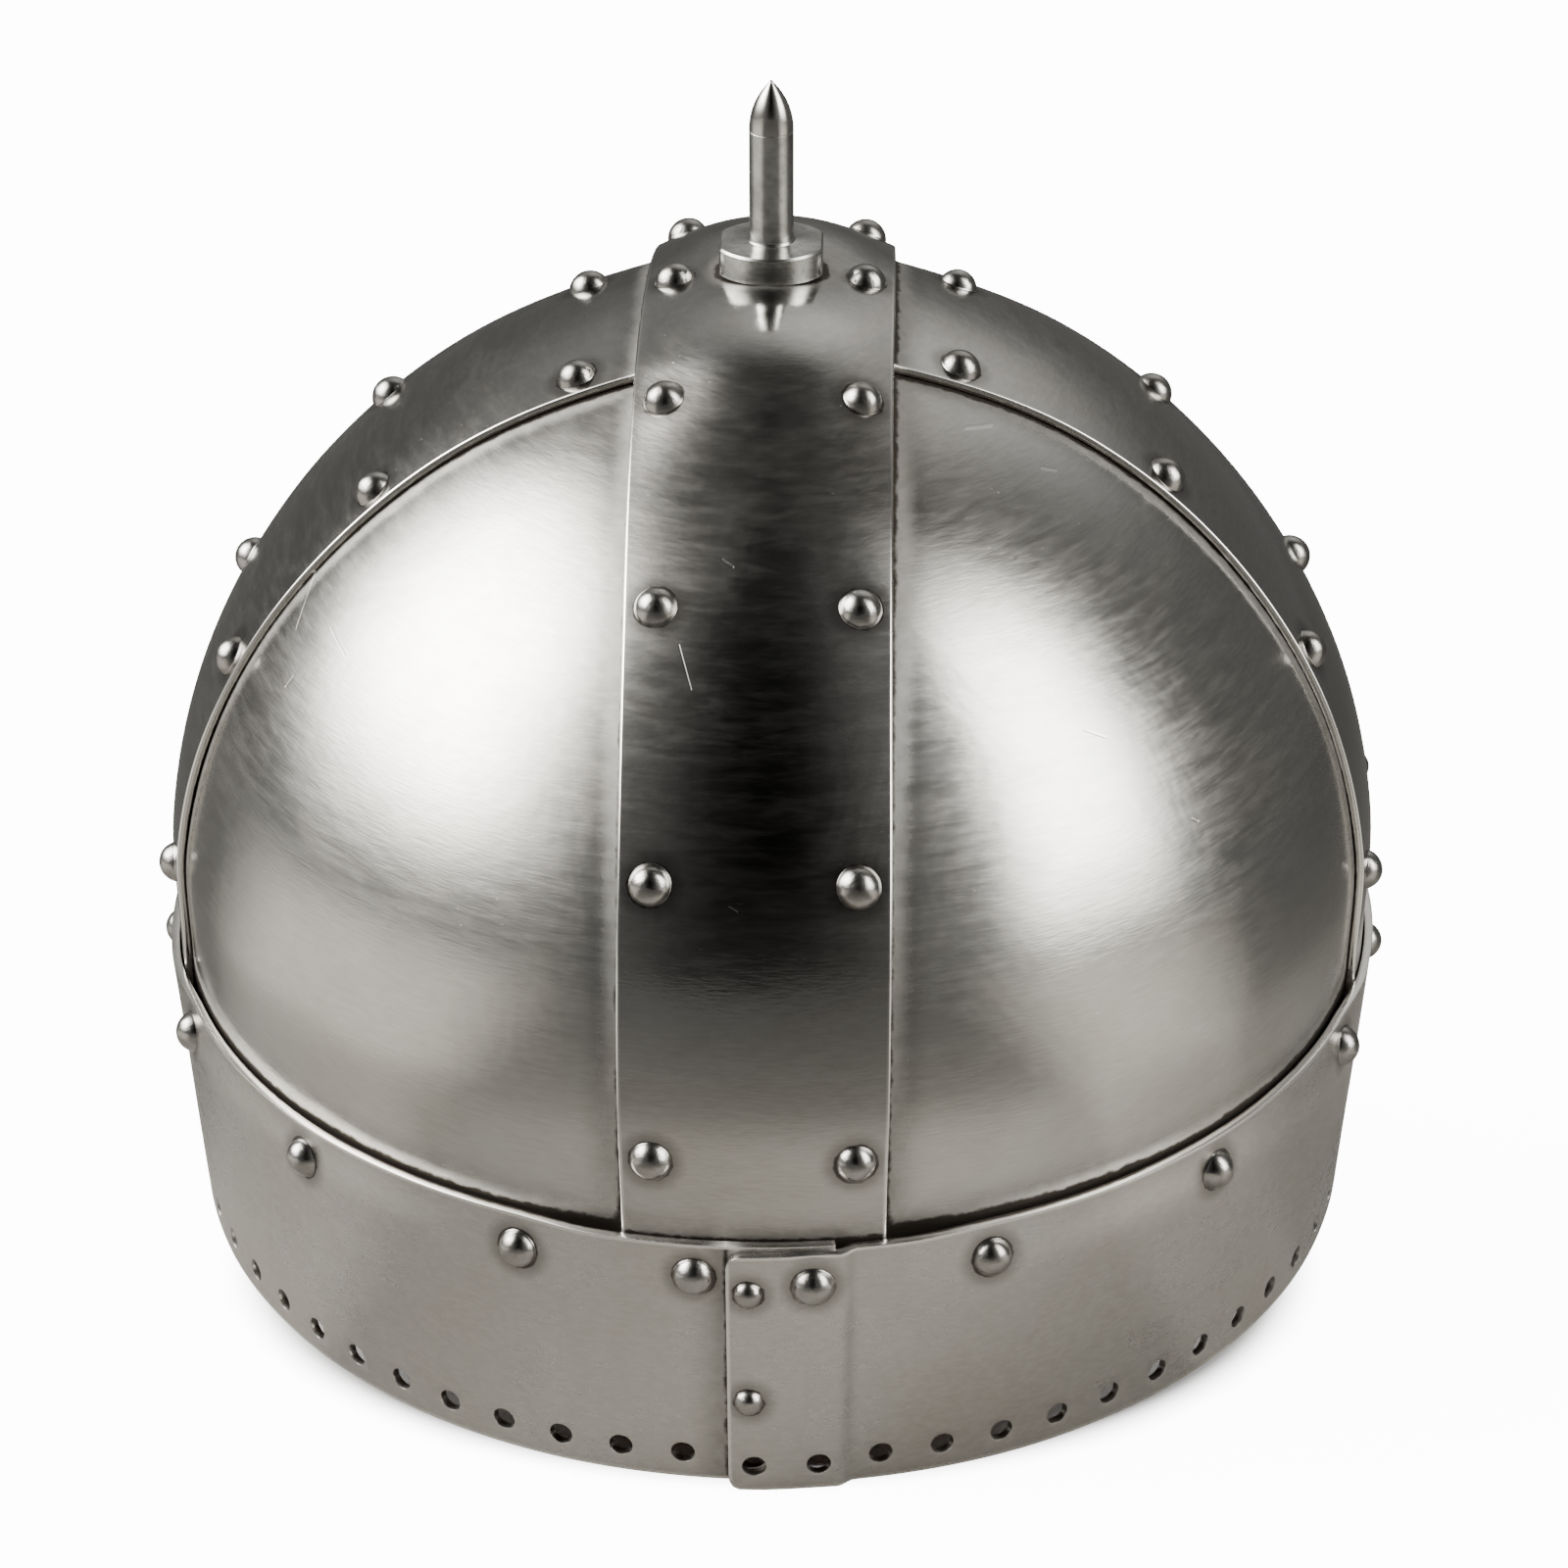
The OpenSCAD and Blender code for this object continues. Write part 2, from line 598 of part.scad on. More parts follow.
module liner_washers() {
    color(zinc) stood() for (r = band_rivet_rows) at(band_point(r[0], band_z, r[1]))
        translate([0, 0, -band_depth(r[1]) + lay]) difference() {
            cylinder(d = liner_washer_d, h = liner_washer_t, $fn = 48);
            translate([0, 0, -1]) cylinder(d = rivet_shank_d + hole_play, h = 3, $fn = 32);
        }
}

module tongue_dome(inset) {
    e = [tongue_a - inset, tongue_b - inset, tongue_rise - inset] / tongue_a;
    translate([0, 0, sew_z]) scale(e) sphere(r = tongue_a);
}

module tongue_outline() {
    rim = tongue_a * 1.2;
    half = rim * tan(180 / tongue_n) - tongue_clear / cos(180 / tongue_n);
    polygon([[tongue_tip_r, -tongue_tip_half], [rim, -half], [rim, half],
        [tongue_tip_r, tongue_tip_half]]);
}

module liner_tongue(i) {
    turn = (i - 0.5) * 360 / tongue_n;
    color(leather_c) stood() difference() {
        intersection() {
            difference() {
                tongue_dome(0);
                tongue_dome(leather_t);
            }
            translate([0, 0, tongue_low]) scale([1, tongue_b / tongue_a, 1]) rotate(turn)
                linear_extrude(height = big / 2) tongue_outline();
        }
        scale([1, tongue_b / tongue_a, 1]) rotate(turn) translate([lace_r, 0, sew_z]) {
            slab(-slot_w / 2, slot_w / 2, (slot_w - slot_l) / 2, (slot_l - slot_w) / 2, 0, big / 2);
            for (s = [-1, 1]) translate([0, s * (slot_l - slot_w) / 2, 0])
                cylinder(d = slot_w, h = big / 2, $fn = 32);
        }
        for (p = band_rivets) at(p) translate([0, 0, -drill_h - drill_over])
            cylinder(d = liner_washer_d + 1, h = drill_h + 2 * drill_over, $fn = 32);
    }
}

// The lace weaves up through one tongue's slot and down through the next
lace_rings = 80;
lace_sides = 8;
function lace_wave(t) = let (s = sin(t * tongue_n / 2)) sign(s) * pow(abs(s), 0.8);
function lace_at(t) = [lace_r * cos(t), lace_r * tongue_b / tongue_a * sin(t),
    tongue_z(lace_r) - leather_t / 2 + lace_swing * lace_wave(t - 180 / tongue_n)];
module liner_lace() {
    step = 360 / lace_rings;
    pts = [for (i = [0:lace_rings - 1]) let (t = i * step, p = lace_at(t),
        f = unit(lace_at(t + step) - lace_at(t - step)), u = unit(cross([0, 0, 1], f)), v = cross(f, u))
        for (j = [0:lace_sides - 1]) let (w = j * 360 / lace_sides)
            p + (u * cos(w) + v * sin(w)) * lace_d / 2];
    quads = [for (i = [0:lace_rings - 1], j = [0:lace_sides - 1]) let (i2 = (i + 1) % lace_rings,
        j2 = (j + 1) % lace_sides) [i * lace_sides + j, i2 * lace_sides + j,
        i2 * lace_sides + j2, i * lace_sides + j2]];
    tris = [for (q = quads, t = [[0, 1, 2], [0, 2, 3]]) [q[t[0]], q[t[1]], q[t[2]]]];
    color(lace_c) stood() polyhedron(points = pts, faces = tris, convexity = 6);
}

plate(1, 1);  // plate_rear_left
plate(-1, 1);  // plate_rear_right
plate(1, -1);  // plate_front_left
plate(-1, -1);  // plate_front_right
crest_strip();
side_strip(1);  // side_strip_left
side_strip(-1);  // side_strip_right
brow_band();
spectacle_guard();
spike();
spike_washer();
spike_nut();
rivets_crest(1);  // rivets_crest_rear
rivets_crest(-1);  // rivets_crest_front
rivets_crown();
rivets_side(1);  // rivets_side_left
rivets_side(-1);  // rivets_side_right
rivets_brow_band();
rivets_band_seam();
rivets_guard();
liner_band();
liner_washers();
liner_lace();
liner_tongue(1);  // liner_tongue_1
liner_tongue(2);  // liner_tongue_2
liner_tongue(3);  // liner_tongue_3
liner_tongue(4);  // liner_tongue_4
liner_tongue(5);  // liner_tongue_5
liner_tongue(6);  // liner_tongue_6
liner_tongue(7);  // liner_tongue_7
liner_tongue(8);  // liner_tongue_8
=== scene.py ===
# %% [markdown]
# # A riveted spectacle helmet
# The helmet has four bowl plates, a crest strip, two side strips and a brow band, all of satin
# steel. Domed rivets hold them. A spectacle guard shields the eyes, a bolted spike stands on the
# crown, and a leather liner is laced together inside. The CAD model gives every place and size.
# This lesson dresses each piece: first its shape, then its finish.

# %% Load the frame
import bmesh
import bpy
import json
import math
import numpy as np
from mathutils import Matrix, Vector


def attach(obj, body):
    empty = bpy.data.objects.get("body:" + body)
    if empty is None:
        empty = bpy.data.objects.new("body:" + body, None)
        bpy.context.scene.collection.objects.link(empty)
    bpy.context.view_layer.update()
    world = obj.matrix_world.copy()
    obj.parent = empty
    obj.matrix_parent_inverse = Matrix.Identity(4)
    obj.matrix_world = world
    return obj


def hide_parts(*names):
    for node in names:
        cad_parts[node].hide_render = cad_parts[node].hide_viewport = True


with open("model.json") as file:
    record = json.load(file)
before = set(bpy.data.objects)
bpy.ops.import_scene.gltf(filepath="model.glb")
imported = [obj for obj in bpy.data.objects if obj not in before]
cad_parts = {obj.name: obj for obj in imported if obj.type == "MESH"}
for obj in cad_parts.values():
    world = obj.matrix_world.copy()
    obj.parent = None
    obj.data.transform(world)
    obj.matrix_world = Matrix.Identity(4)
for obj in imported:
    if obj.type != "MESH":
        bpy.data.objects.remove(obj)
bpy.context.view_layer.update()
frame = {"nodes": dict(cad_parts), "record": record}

# %% [markdown]
# The helmet leans back as it stands, so its own axis isn't upright. It is easier to build it
# straight, in millimetres above the brow band's lower edge, and to stand it up at the end. The
# spike's mount in the record gives the lean, and the two shifts follow from it.

# %% From the upright helmet to the standing one
SPIKE_MIDDLE = 184.8            # height of the rod's middle above the band's lower edge
rod = next(m for m in frame["record"]["mounts"] if m["name"] == "spike_rod")
lean = math.atan2(rod["axis"][1], rod["axis"][2])
LEAN_SIN, LEAN_COS = math.sin(lean), math.cos(lean)
SHIFT_Y = rod["pos_m"][1] * 1000 - SPIKE_MIDDLE * LEAN_SIN
SHIFT_Z = rod["pos_m"][2] * 1000 - SPIKE_MIDDLE * LEAN_COS


def turned(vectors):
    v = np.asarray(vectors, float).reshape(-1, 3)
    return np.column_stack([v[:, 0], v[:, 1] * LEAN_COS + v[:, 2] * LEAN_SIN,
        v[:, 2] * LEAN_COS - v[:, 1] * LEAN_SIN])


def stood(points):
    return (turned(points) + [0, SHIFT_Y, SHIFT_Z]) / 1000


print("lean", round(math.degrees(lean), 2), "degrees, shifts", round(SHIFT_Y, 2), round(SHIFT_Z, 2))

# %% [markdown]
# The camera looks at the back of the helmet from above, with a long lens. Its place was worked out
# from the helmet's own edges and rivets, so it is given in the helmet's frame and stood up with it.

# %% The camera
CAMERA_AT = (-21.36, 778.47, 469.05)
YAW, PITCH, ROLL = (math.radians(v) for v in (-1.418, -27.069, -0.025))
SENSOR_MM, LENS_MM = 36, 111.22425
flat_share = math.cos(PITCH)
ahead = np.array([-math.sin(YAW) * flat_share, -math.cos(YAW) * flat_share, math.sin(PITCH)])
right = np.cross(ahead, [0, 0, 1])
right /= np.linalg.norm(right)
above = np.cross(right, ahead)
right, above = (right * math.cos(ROLL) + above * math.sin(ROLL),
    above * math.cos(ROLL) - right * math.sin(ROLL))
right, above, ahead = (Vector(turned(v)[0]) for v in (right, above, ahead))
lens = bpy.data.cameras.new("camera")
lens.sensor_width = SENSOR_MM
lens.lens = LENS_MM
camera = bpy.data.objects.new("camera", lens)
bpy.context.scene.collection.objects.link(camera)
camera.matrix_world = Matrix.Translation(Vector(stood(CAMERA_AT)[0])) @ Matrix(
    (right, above, -ahead)).transposed().to_4x4()
bpy.context.scene.camera = camera
print("camera at", [round(v, 3) for v in camera.location], "lens", round(lens.lens, 1))

# %% [markdown]
# The helmet stands on a plain floor, a single large sheet. Its finish follows once there are
# helpers to build one.

# %% Floor
def linked(name, data):
    made = bpy.data.objects.new(name, data)
    bpy.context.scene.collection.objects.link(made)
    return made


floor_mesh = bpy.data.meshes.new("floor")
floor_mesh.from_pydata([(-6, -6, 0), (6, -6, 0), (6, 6, 0), (-6, 6, 0)], [], [(0, 1, 2, 3)])
floor = linked("floor", floor_mesh)

# %% [markdown]
# Shader and geometry trees are long when each node is made line by line. A few small helpers keep
# them short. The first adds a node and joins or sets its inputs, and the others build on it: sums,
# soft ramps, mixed colours, groups inside a tree and new groups with named sockets.

# %% Helpers for node trees
def node(tree, kind, inputs=None, **settings):
    made = tree.nodes.new(kind)
    for key, value in settings.items():
        setattr(made, key, value)
    for key, value in (inputs or {}).items():
        if isinstance(value, bpy.types.NodeSocket):
            tree.links.new(value, made.inputs[key])
        else:
            made.inputs[key].default_value = value
    return made


def math_node(tree, kind, a, b=0.0, clamp=False):
    return node(tree, "ShaderNodeMath", {0: a, 1: b}, operation=kind, use_clamp=clamp).outputs[0]


def added(tree, a, b):
    return math_node(tree, "ADD", a, b)


def less(tree, a, b, clamp=False):
    return math_node(tree, "SUBTRACT", a, b, clamp)


def times(tree, a, b):
    return math_node(tree, "MULTIPLY", a, b)


def divided(tree, a, b, clamp=False):
    return math_node(tree, "DIVIDE", a, b, clamp)


def larger(tree, a, b):
    return math_node(tree, "MAXIMUM", a, b)


def vector_node(tree, kind, a, b=None, scale=None):
    inputs = {0: a}
    if b is not None:
        inputs[1] = b
    if scale is not None:
        inputs["Scale"] = scale
    made = node(tree, "ShaderNodeVectorMath", inputs, operation=kind)
    return made.outputs["Value" if kind in ("DOT_PRODUCT", "LENGTH") else "Vector"]


def ramp_between(tree, value, low, high, from_value=0.0, to_value=1.0):
    made = node(tree, "ShaderNodeMapRange", {"Value": value, "From Min": low, "From Max": high,
        "To Min": from_value, "To Max": to_value}, interpolation_type="SMOOTHSTEP")
    return made.outputs["Result"]


def mixed(tree, share, a, b):
    a, b = (v if isinstance(v, bpy.types.NodeSocket) else (*v, 1) for v in (a, b))
    return node(tree, "ShaderNodeMix", {"Factor": share, 6: a, 7: b}, data_type="RGBA").outputs[2]


def group_node(tree, group, inputs):
    return node(tree, "ShaderNodeGroup", inputs, node_tree=group).outputs


def new_group(name, kind, inputs, outputs):
    group = bpy.data.node_groups.new(name, kind)
    for title, socket, value in inputs:
        made = group.interface.new_socket(title, in_out="INPUT", socket_type="NodeSocket" + socket)
        if value is not None:
            made.default_value = value
    for title, socket in outputs:
        group.interface.new_socket(title, in_out="OUTPUT", socket_type="NodeSocket" + socket)
    return group, node(group, "NodeGroupInput").outputs, node(group, "NodeGroupOutput").inputs


def new_material(name):
    made = bpy.data.materials.new(name)
    made.use_nodes = True
    return made, made.node_tree, made.node_tree.nodes["Principled BSDF"].inputs


helpers = (node, vector_node, ramp_between, mixed, group_node, new_group, new_material)
print("helpers:", [helper.__name__ for helper in helpers])

# %% [markdown]
# The camera sees the floor nearly white, as paper lit from below. Its glow stops where the helmet
# covers it, which paints a shadow under the helmet. The steel sees the darker table that its lower
# half mirrors, so the Light Path node tells the two apart. Two broad pools of light, to the left and
# to the right of the helmet, are painted into the table's colour. Round its foot the table's colour
# is painted dim, as painted shade, and darker still on the wearer's left.

# %% Floor finish
TABLE_TONE = (0.45, 0.435, 0.405)
PAPER_TONE = (0.9, 0.9, 0.9)
PAPER_GLOW = 12.0
FOOT_HALF_W, FOOT_HALF_L = 0.104, 0.116     # what the helmet covers, in metres
paper, tree, shader = new_material("paper")
seen = node(tree, "ShaderNodeLightPath").outputs["Is Camera Ray"]
spot = node(tree, "ShaderNodeTexCoord").outputs["Object"]
far_off = vector_node(tree, "LENGTH", spot)
spot_xyz = node(tree, "ShaderNodeSeparateXYZ", {0: spot}).outputs
backward = divided(tree, spot_xyz["Y"], added(tree, far_off, 0.001))
leftward = divided(tree, spot_xyz["X"], added(tree, far_off, 0.001))
slanted = added(tree, backward, times(tree, leftward, 0.22))
# painted light: pools of light beside the helmet and dim light round its foot, painted into the
# table's colour
beside = times(tree, ramp_between(tree, backward, 0.5, 0.88, 1.0, 0.0),
    ramp_between(tree, slanted, -0.42, 0.22, 0.0, 1.0))
beside = times(tree, beside, ramp_between(tree, far_off, 0.3, 2.2, 1.0, 0.45))
dimmed = divided(tree, 0.06, larger(tree, less(tree, far_off, 0.13), 0.06))
painted_foot_light = times(tree, dimmed, ramp_between(tree, backward, -0.6, 0.1, 0.3, 0.55))
painted_light_pool = larger(tree, beside, painted_foot_light)
close = ramp_between(tree, far_off, 0.15, 0.3, 3.0, 0.0)
painted_light_pool = times(tree, painted_light_pool, less(tree, 1.0, times(tree, close, spot_xyz["X"])))
# the table's colour carries the painted pools of light and the painted shade
table_tone_with_painted_light = mixed(tree, painted_light_pool, (0, 0, 0), TABLE_TONE)
tree.links.new(mixed(tree, seen, table_tone_with_painted_light, PAPER_TONE), shader["Base Color"])
# painted shadow: the camera's glow stops inside the helmet's footprint
footprint = node(tree, "ShaderNodeMapping", {"Vector": spot,
    "Scale": (1 / FOOT_HALF_W, 1 / FOOT_HALF_L, 0)}).outputs[0]
painted_shadow_radius = vector_node(tree, "LENGTH", footprint)
glow = times(tree, seen, ramp_between(tree, painted_shadow_radius, 0.9, 1.0, 0.0, PAPER_GLOW))
tree.links.new(glow, shader["Emission Strength"])
shader["Emission Color"].default_value = (1, 1, 1, 1)
shader["Roughness"].default_value = 0.9
floor_mesh.materials.append(paper)
print("floor", [round(v, 1) for v in floor.dimensions], "nodes", len(tree.nodes))

# %% [markdown]
# Satin steel shows mostly what stands round it. The photograph mirrors a large window on either
# side, a grey room and, straight behind the camera, a dark figure that gives the black band down
# the crest. The world is built as that room. Each window is a soft patch with a middle direction
# and a size, in degrees round from the camera's side and up from the floor, and a fainter, larger
# patch round it is the light wall that it stands in. One more faint patch, in front of the helmet,
# lights the far side of the crown. A soft lamp helps there, but the steel doesn't mirror it.

# %% World and lamp
window, given, result = new_group("soft_window", "ShaderNodeTree", [("Around", "Float", 0.0),
    ("Up", "Float", 0.0), ("Middle", "Float", 90.0), ("Inner half", "Float", 30.0),
    ("Outer half", "Float", 30.0), ("Height", "Float", 40.0), ("Half height", "Float", 20.0),
    ("Strength", "Float", 1.0)], [("Light", "Float")])
off = less(window, math_node(window, "ABSOLUTE", given["Around"]), given["Middle"])
inner = divided(window, math_node(window, "MINIMUM", off, 0.0), given["Inner half"])
outer = divided(window, larger(window, off, 0.0), given["Outer half"])
side_off = math_node(window, "ABSOLUTE", added(window, inner, outer))
up_off = divided(window, less(window, given["Up"], given["Height"]), given["Half height"])
up_off = math_node(window, "ABSOLUTE", up_off)
total_off = added(window, math_node(window, "POWER", side_off, 3.0),
    math_node(window, "POWER", up_off, 3.0))
fade = math_node(window, "EXPONENT", times(window, total_off, -1.0))
window.links.new(times(window, fade, given["Strength"]), result["Light"])

world = bpy.data.worlds.new("studio")
world.use_nodes = True
bpy.context.scene.world = world
room = world.node_tree
for old in list(room.nodes):
    room.nodes.remove(old)
direction = node(room, "ShaderNodeTexCoord").outputs["Generated"]
ray = node(room, "ShaderNodeSeparateXYZ", {0: direction}).outputs
around = math_node(room, "DEGREES", math_node(room, "ARCTAN2", ray["X"], ray["Y"]))
up = math_node(room, "DEGREES", math_node(room, "ARCSINE", ray["Z"]))
on_left = math_node(room, "GREATER_THAN", around, 0.0)
on_right = less(room, 1.0, on_left)
to_right = ramp_between(room, ray["X"], -0.4, 0.4, 1.0, 0.3)


def soft_patch(middle, inner, outer, height, half_height, strength):
    return group_node(room, window, {"Around": around, "Up": up, "Middle": middle,
        "Inner half": inner, "Outer half": outer, "Height": height, "Half height": half_height,
        "Strength": strength})["Light"]


ROOM_GREY = 0.12
lights = [
    times(room, soft_patch(88, 30, 28, 38, 20, 20.0), on_left),
    times(room, soft_patch(88, 44, 28, 28, 42, 0.25), on_left),
    times(room, soft_patch(69, 15, 17, 30, 25, 11.0), on_right),
    times(room, soft_patch(70, 34, 20, 25, 38, 0.25), on_right),
    times(room, soft_patch(180, 48, 20, 53, 23, 0.9), to_right),
]
figure = soft_patch(0.0, 24.0, 24.0, 35.0, 55.0, 1.0)
grey = ramp_between(room, up, 55, 84, ROOM_GREY, 0.4 * ROOM_GREY)
total = times(room, grey, less(room, 1.02, figure))
for light in lights:
    total = added(room, total, light)
seen = node(room, "ShaderNodeLightPath").outputs["Is Camera Ray"]
BACKDROP = 14.0                 # what the camera sees of the world is plain white
level = node(room, "ShaderNodeMix", {"Factor": seen, "A": total, "B": BACKDROP}).outputs[0]
tint = mixed(room, seen, (1, 0.985, 0.945), (1, 1, 1))
sky = node(room, "ShaderNodeBackground", {"Strength": level, "Color": tint})
node(room, "ShaderNodeOutputWorld", {"Surface": sky.outputs[0]})

LAMP_AT, LAMP_AIM = Vector((-0.22, -0.9, 1.5)), Vector((0, 0, 0.12))
lamp_data = bpy.data.lights.new("lamp_top", "AREA")
lamp_data.shape = "RECTANGLE"
lamp_data.size, lamp_data.size_y, lamp_data.energy = 1.0, 0.6, 1.2
lamp = linked("lamp_top", lamp_data)
lamp.location = LAMP_AT
lamp.rotation_euler = (LAMP_AIM - LAMP_AT).to_track_quat("-Z", "Y").to_euler()
lamp.visible_glossy = False

# %% [markdown]
# A hand-raised bowl is never an exact ellipsoid. This one is a little fuller at the shoulders and a
# little flatter near the crown, and the crest strip is rounder across near the spike. One function
# moves any point of the plain bowl to the real one, so plates, strips and rivets stay together. It
# fades out where the brow band begins.

# %% The bowl's real shape
HALF_W, HALF_L, RISE, LEVEL = 105.5, 116.0, 115.5, 51.5
PLATE_T, STRIP_T, BAND_T, LAY = 1.5, 1.5, 1.5, 0.05
CREST_W, SIDE_W = 43.0, 50.0
TUCK_Z = 34.3                   # lower ends of plates and strips, behind the band


def ease(low, high, v):
    t = np.clip((np.asarray(v, float) - low) / (high - low), 0, 1)
    return t * t * (3 - 2 * t)


def bump(v, middle, wide, high):
    return high * np.exp(-((v - middle) / wide) ** 2)


SHOULDER = 0.0204               # how much fuller the shoulders are, as a share of the bowl


def swelled(points):
    p = np.asarray(points, float)
    q = (p - [0, 0, LEVEL]) / [HALF_W, HALF_L, RISE]
    down = np.degrees(np.arctan2(np.hypot(q[..., 0], q[..., 1]), q[..., 2]))
    fuller = (bump(down, 71.3, 20.5, SHOULDER) - bump(down, 31.7, 15.2, 0.005)
        - bump(down, 21, 9, 0.008)) * (1 - ease(80, 91, down))
    out = [0, 0, LEVEL] + (p - [0, 0, LEVEL]) * (1 + fuller)[..., None]
    # the crest strip is rounder across than the bowl just before and behind the spike
    across, along = np.abs(p[..., 0]) / (CREST_W / 2), np.abs(p[..., 1])
    out[..., 2] += bump(along, 30, 18, 3.2) * np.clip(1 - across ** 2, 0, 1)
    out[..., 2] -= bump(np.hypot(p[..., 0], along), 0, 21, 2.2) * np.clip(across, 0, 1.6) ** 2
    return out


MID_R = 110                     # about half the bowl's width, where waves keep their full height


def ripple(points, seed, size, high):
    # gentle hammered unevenness: a few waves of random direction
    dice = np.random.default_rng(seed)
    total = np.zeros(np.shape(points)[:-1])
    for _ in range(9):
        way = dice.normal(size=3)
        way *= 2 * math.pi / (size * dice.uniform(0.7, 1.6)) / np.linalg.norm(way)
        total = total + np.sin(np.asarray(points) @ way + dice.uniform(0, 6.28))
    return total * high / 3


print("fullest at the shoulders by", round(SHOULDER * HALF_W, 2), "mm")

# %% [markdown]
# Each sheet is described by two numbers, such as the distance across a strip and the angle along
# it. A function turns such a pair into a place on its outer side. The small faults of handwork are
# in these functions too: side strips that lean a little, an outer band end that is pressed down
# round its rivet, and a band whose top edge is beaten in towards the plates between the strips.

# %% Surfaces of plates, strips and band
CREST_RISE = RISE + LAY + 2 * STRIP_T + 0.3     # the crest strip lies over the side strips


def crest_surface(x, angle):
    a, b, c = HALF_W + LAY + STRIP_T, HALF_L + LAY + STRIP_T, CREST_RISE
    x, angle = np.broadcast_arrays(np.asarray(x, float), np.asarray(angle, float))
    x, turn = x * (1 + bump(angle, 20, 25, 0.045) * (x > 0)), np.radians(angle)
    k = np.sqrt(1 - (x / a) ** 2)
    return swelled(np.stack([x, b * k * np.sin(turn), LEVEL + c * k * np.cos(turn)], -1))


def strip_lie(side, turn):
    # how far behind the bowl's middle a side strip's middle line runs: each strip leans a little
    # forward or back on its way down
    return 4.5 - 2.8 * np.cos(turn) ** 2 + (-1.6 + 3.45 * side) * np.sin(2 * turn)


def side_surface(side):
    def place(across, angle):
        a, b, c = (v + LAY + STRIP_T for v in (HALF_W, HALF_L, RISE))
        turn = np.radians(np.asarray(angle, float))
        across, turn = np.broadcast_arrays(np.asarray(across, float), turn)
        y = across + strip_lie(side, turn)
        k = np.sqrt(1 - (y / b) ** 2)
        return swelled(np.stack([side * a * k * np.sin(turn), y, LEVEL + c * k * np.cos(turn)], -1))
    return place


def plate_surface(side, end):
    # down is the angle from the crown, share runs from the side seam (0) to the crest seam (1)
    def place(down, share):
        down = np.radians(np.asarray(down, float))
        down, share = np.broadcast_arrays(down, np.asarray(share, float))
        across, along = HALF_W * np.sin(down), HALF_L * np.sin(down)
        low, high = np.arcsin(1 / along), np.arccos(1 / across)
        turn = low + (high - low) * share
        tall = LEVEL + RISE * np.cos(down)
        p = np.stack([side * across * np.cos(turn), end * along * np.sin(turn), tall], -1)
        free = ease(16, 40, np.degrees(down)) * (1 - ease(78, 88, np.degrees(down)))
        waves = (ripple(p, 11 + side + 3 * end, 46, 0.10) * free)[..., None]
        return swelled(p + waves * (p - [0, 0, LEVEL]) / MID_R)
    return place


BAND_H, BAND_TAPER, BAND_SEAT = 48.5, 4.0, 1.923
INNER_END, OUTER_END = 97.0, -272.3     # unwrapped angles of the band's two ends
LAP_G = 2 * BAND_T + LAY
STEP_FROM, STEP_TO = -262.6, -260.9     # where the outer end steps down beside the inner one
NAPE_MM = 2.03                          # taken for one degree at the nape, a little too long
BEATEN_IN = 1.25                        # the top edge between the strips
HANGS = 0.9                             # how much lower the outer end hangs


def band_axes(g, z):
    narrow = 1 - BAND_TAPER / HALF_W * (1 - z / 48.3)
    return (HALF_W + BAND_SEAT + g) * narrow, (HALF_L + BAND_SEAT + g) * narrow


def band_surface(angle, z):
    angle, z = np.broadcast_arrays(np.asarray(angle, float), np.asarray(z, float))
    over = 1 - ease(STEP_FROM, STEP_TO, angle)
    g = BAND_T + (LAP_G - BAND_T) * over
    # the outer end is pressed against the inner end's edge and round its rivet
    mark = np.hypot((angle + 265) * NAPE_MM, z - 42)
    pressed = 0.35 * np.exp(-((mark - 5.2) / 1.1) ** 2)
    g = g - pressed * over + 0.12 * ease(-263.6, -262.0, angle) * over
    # between the strips the top edge is beaten in towards the plates
    from_strip = 45 - np.abs(np.mod(angle, 90) - 45)
    g = g - BEATEN_IN * ease(BAND_H - 10, BAND_H, z) * ease(13, 22, from_strip)
    drop = HANGS * np.clip(1 - (angle - OUTER_END) / 60, 0, 1)
    drop = drop + 0.25 * (1 - ease(OUTER_END, -264, angle))
    a, b = band_axes(g, z)
    turn = np.radians(angle)
    outwards = np.stack([np.cos(turn), np.sin(turn), 0 * turn], -1)
    p = np.stack([a * np.cos(turn), b * np.sin(turn), z - drop], -1)
    return p + ripple(p, 5, 38, 0.07)[..., None] * outwards


def facing(surface, u, v):
    # place and outward direction of a surface at one or more pairs
    p = surface(u, v)
    across = surface(np.asarray(u) + 0.01, v) - surface(np.asarray(u) - 0.01, v)
    along = surface(u, np.asarray(v) + 0.01) - surface(u, np.asarray(v) - 0.01)
    n = np.cross(across, along)
    n /= np.linalg.norm(n, axis=-1, keepdims=True)
    away = p - [0, 0, 40]
    return p, n * np.sign((n * away).sum(-1, keepdims=True))


END_CREST = math.degrees(math.acos((TUCK_Z - LEVEL) / CREST_RISE))
END_SIDE = math.degrees(math.acos((TUCK_Z - LEVEL) / (RISE + LAY + STRIP_T)))
END_PLATE = math.degrees(math.acos((TUCK_Z - LEVEL) / RISE))
print("strips end", round(END_CREST, 1), "and", round(END_SIDE, 1), "degrees from the crown")

# %% [markdown]
# Rivets come in rows: four on each side of the crest strip at front and rear, four down each edge
# of the side strips, one on each side of the spike, a row round the band, two small ones in
# the lap and five in the guard. Their places are needed early, because stains gather round them.

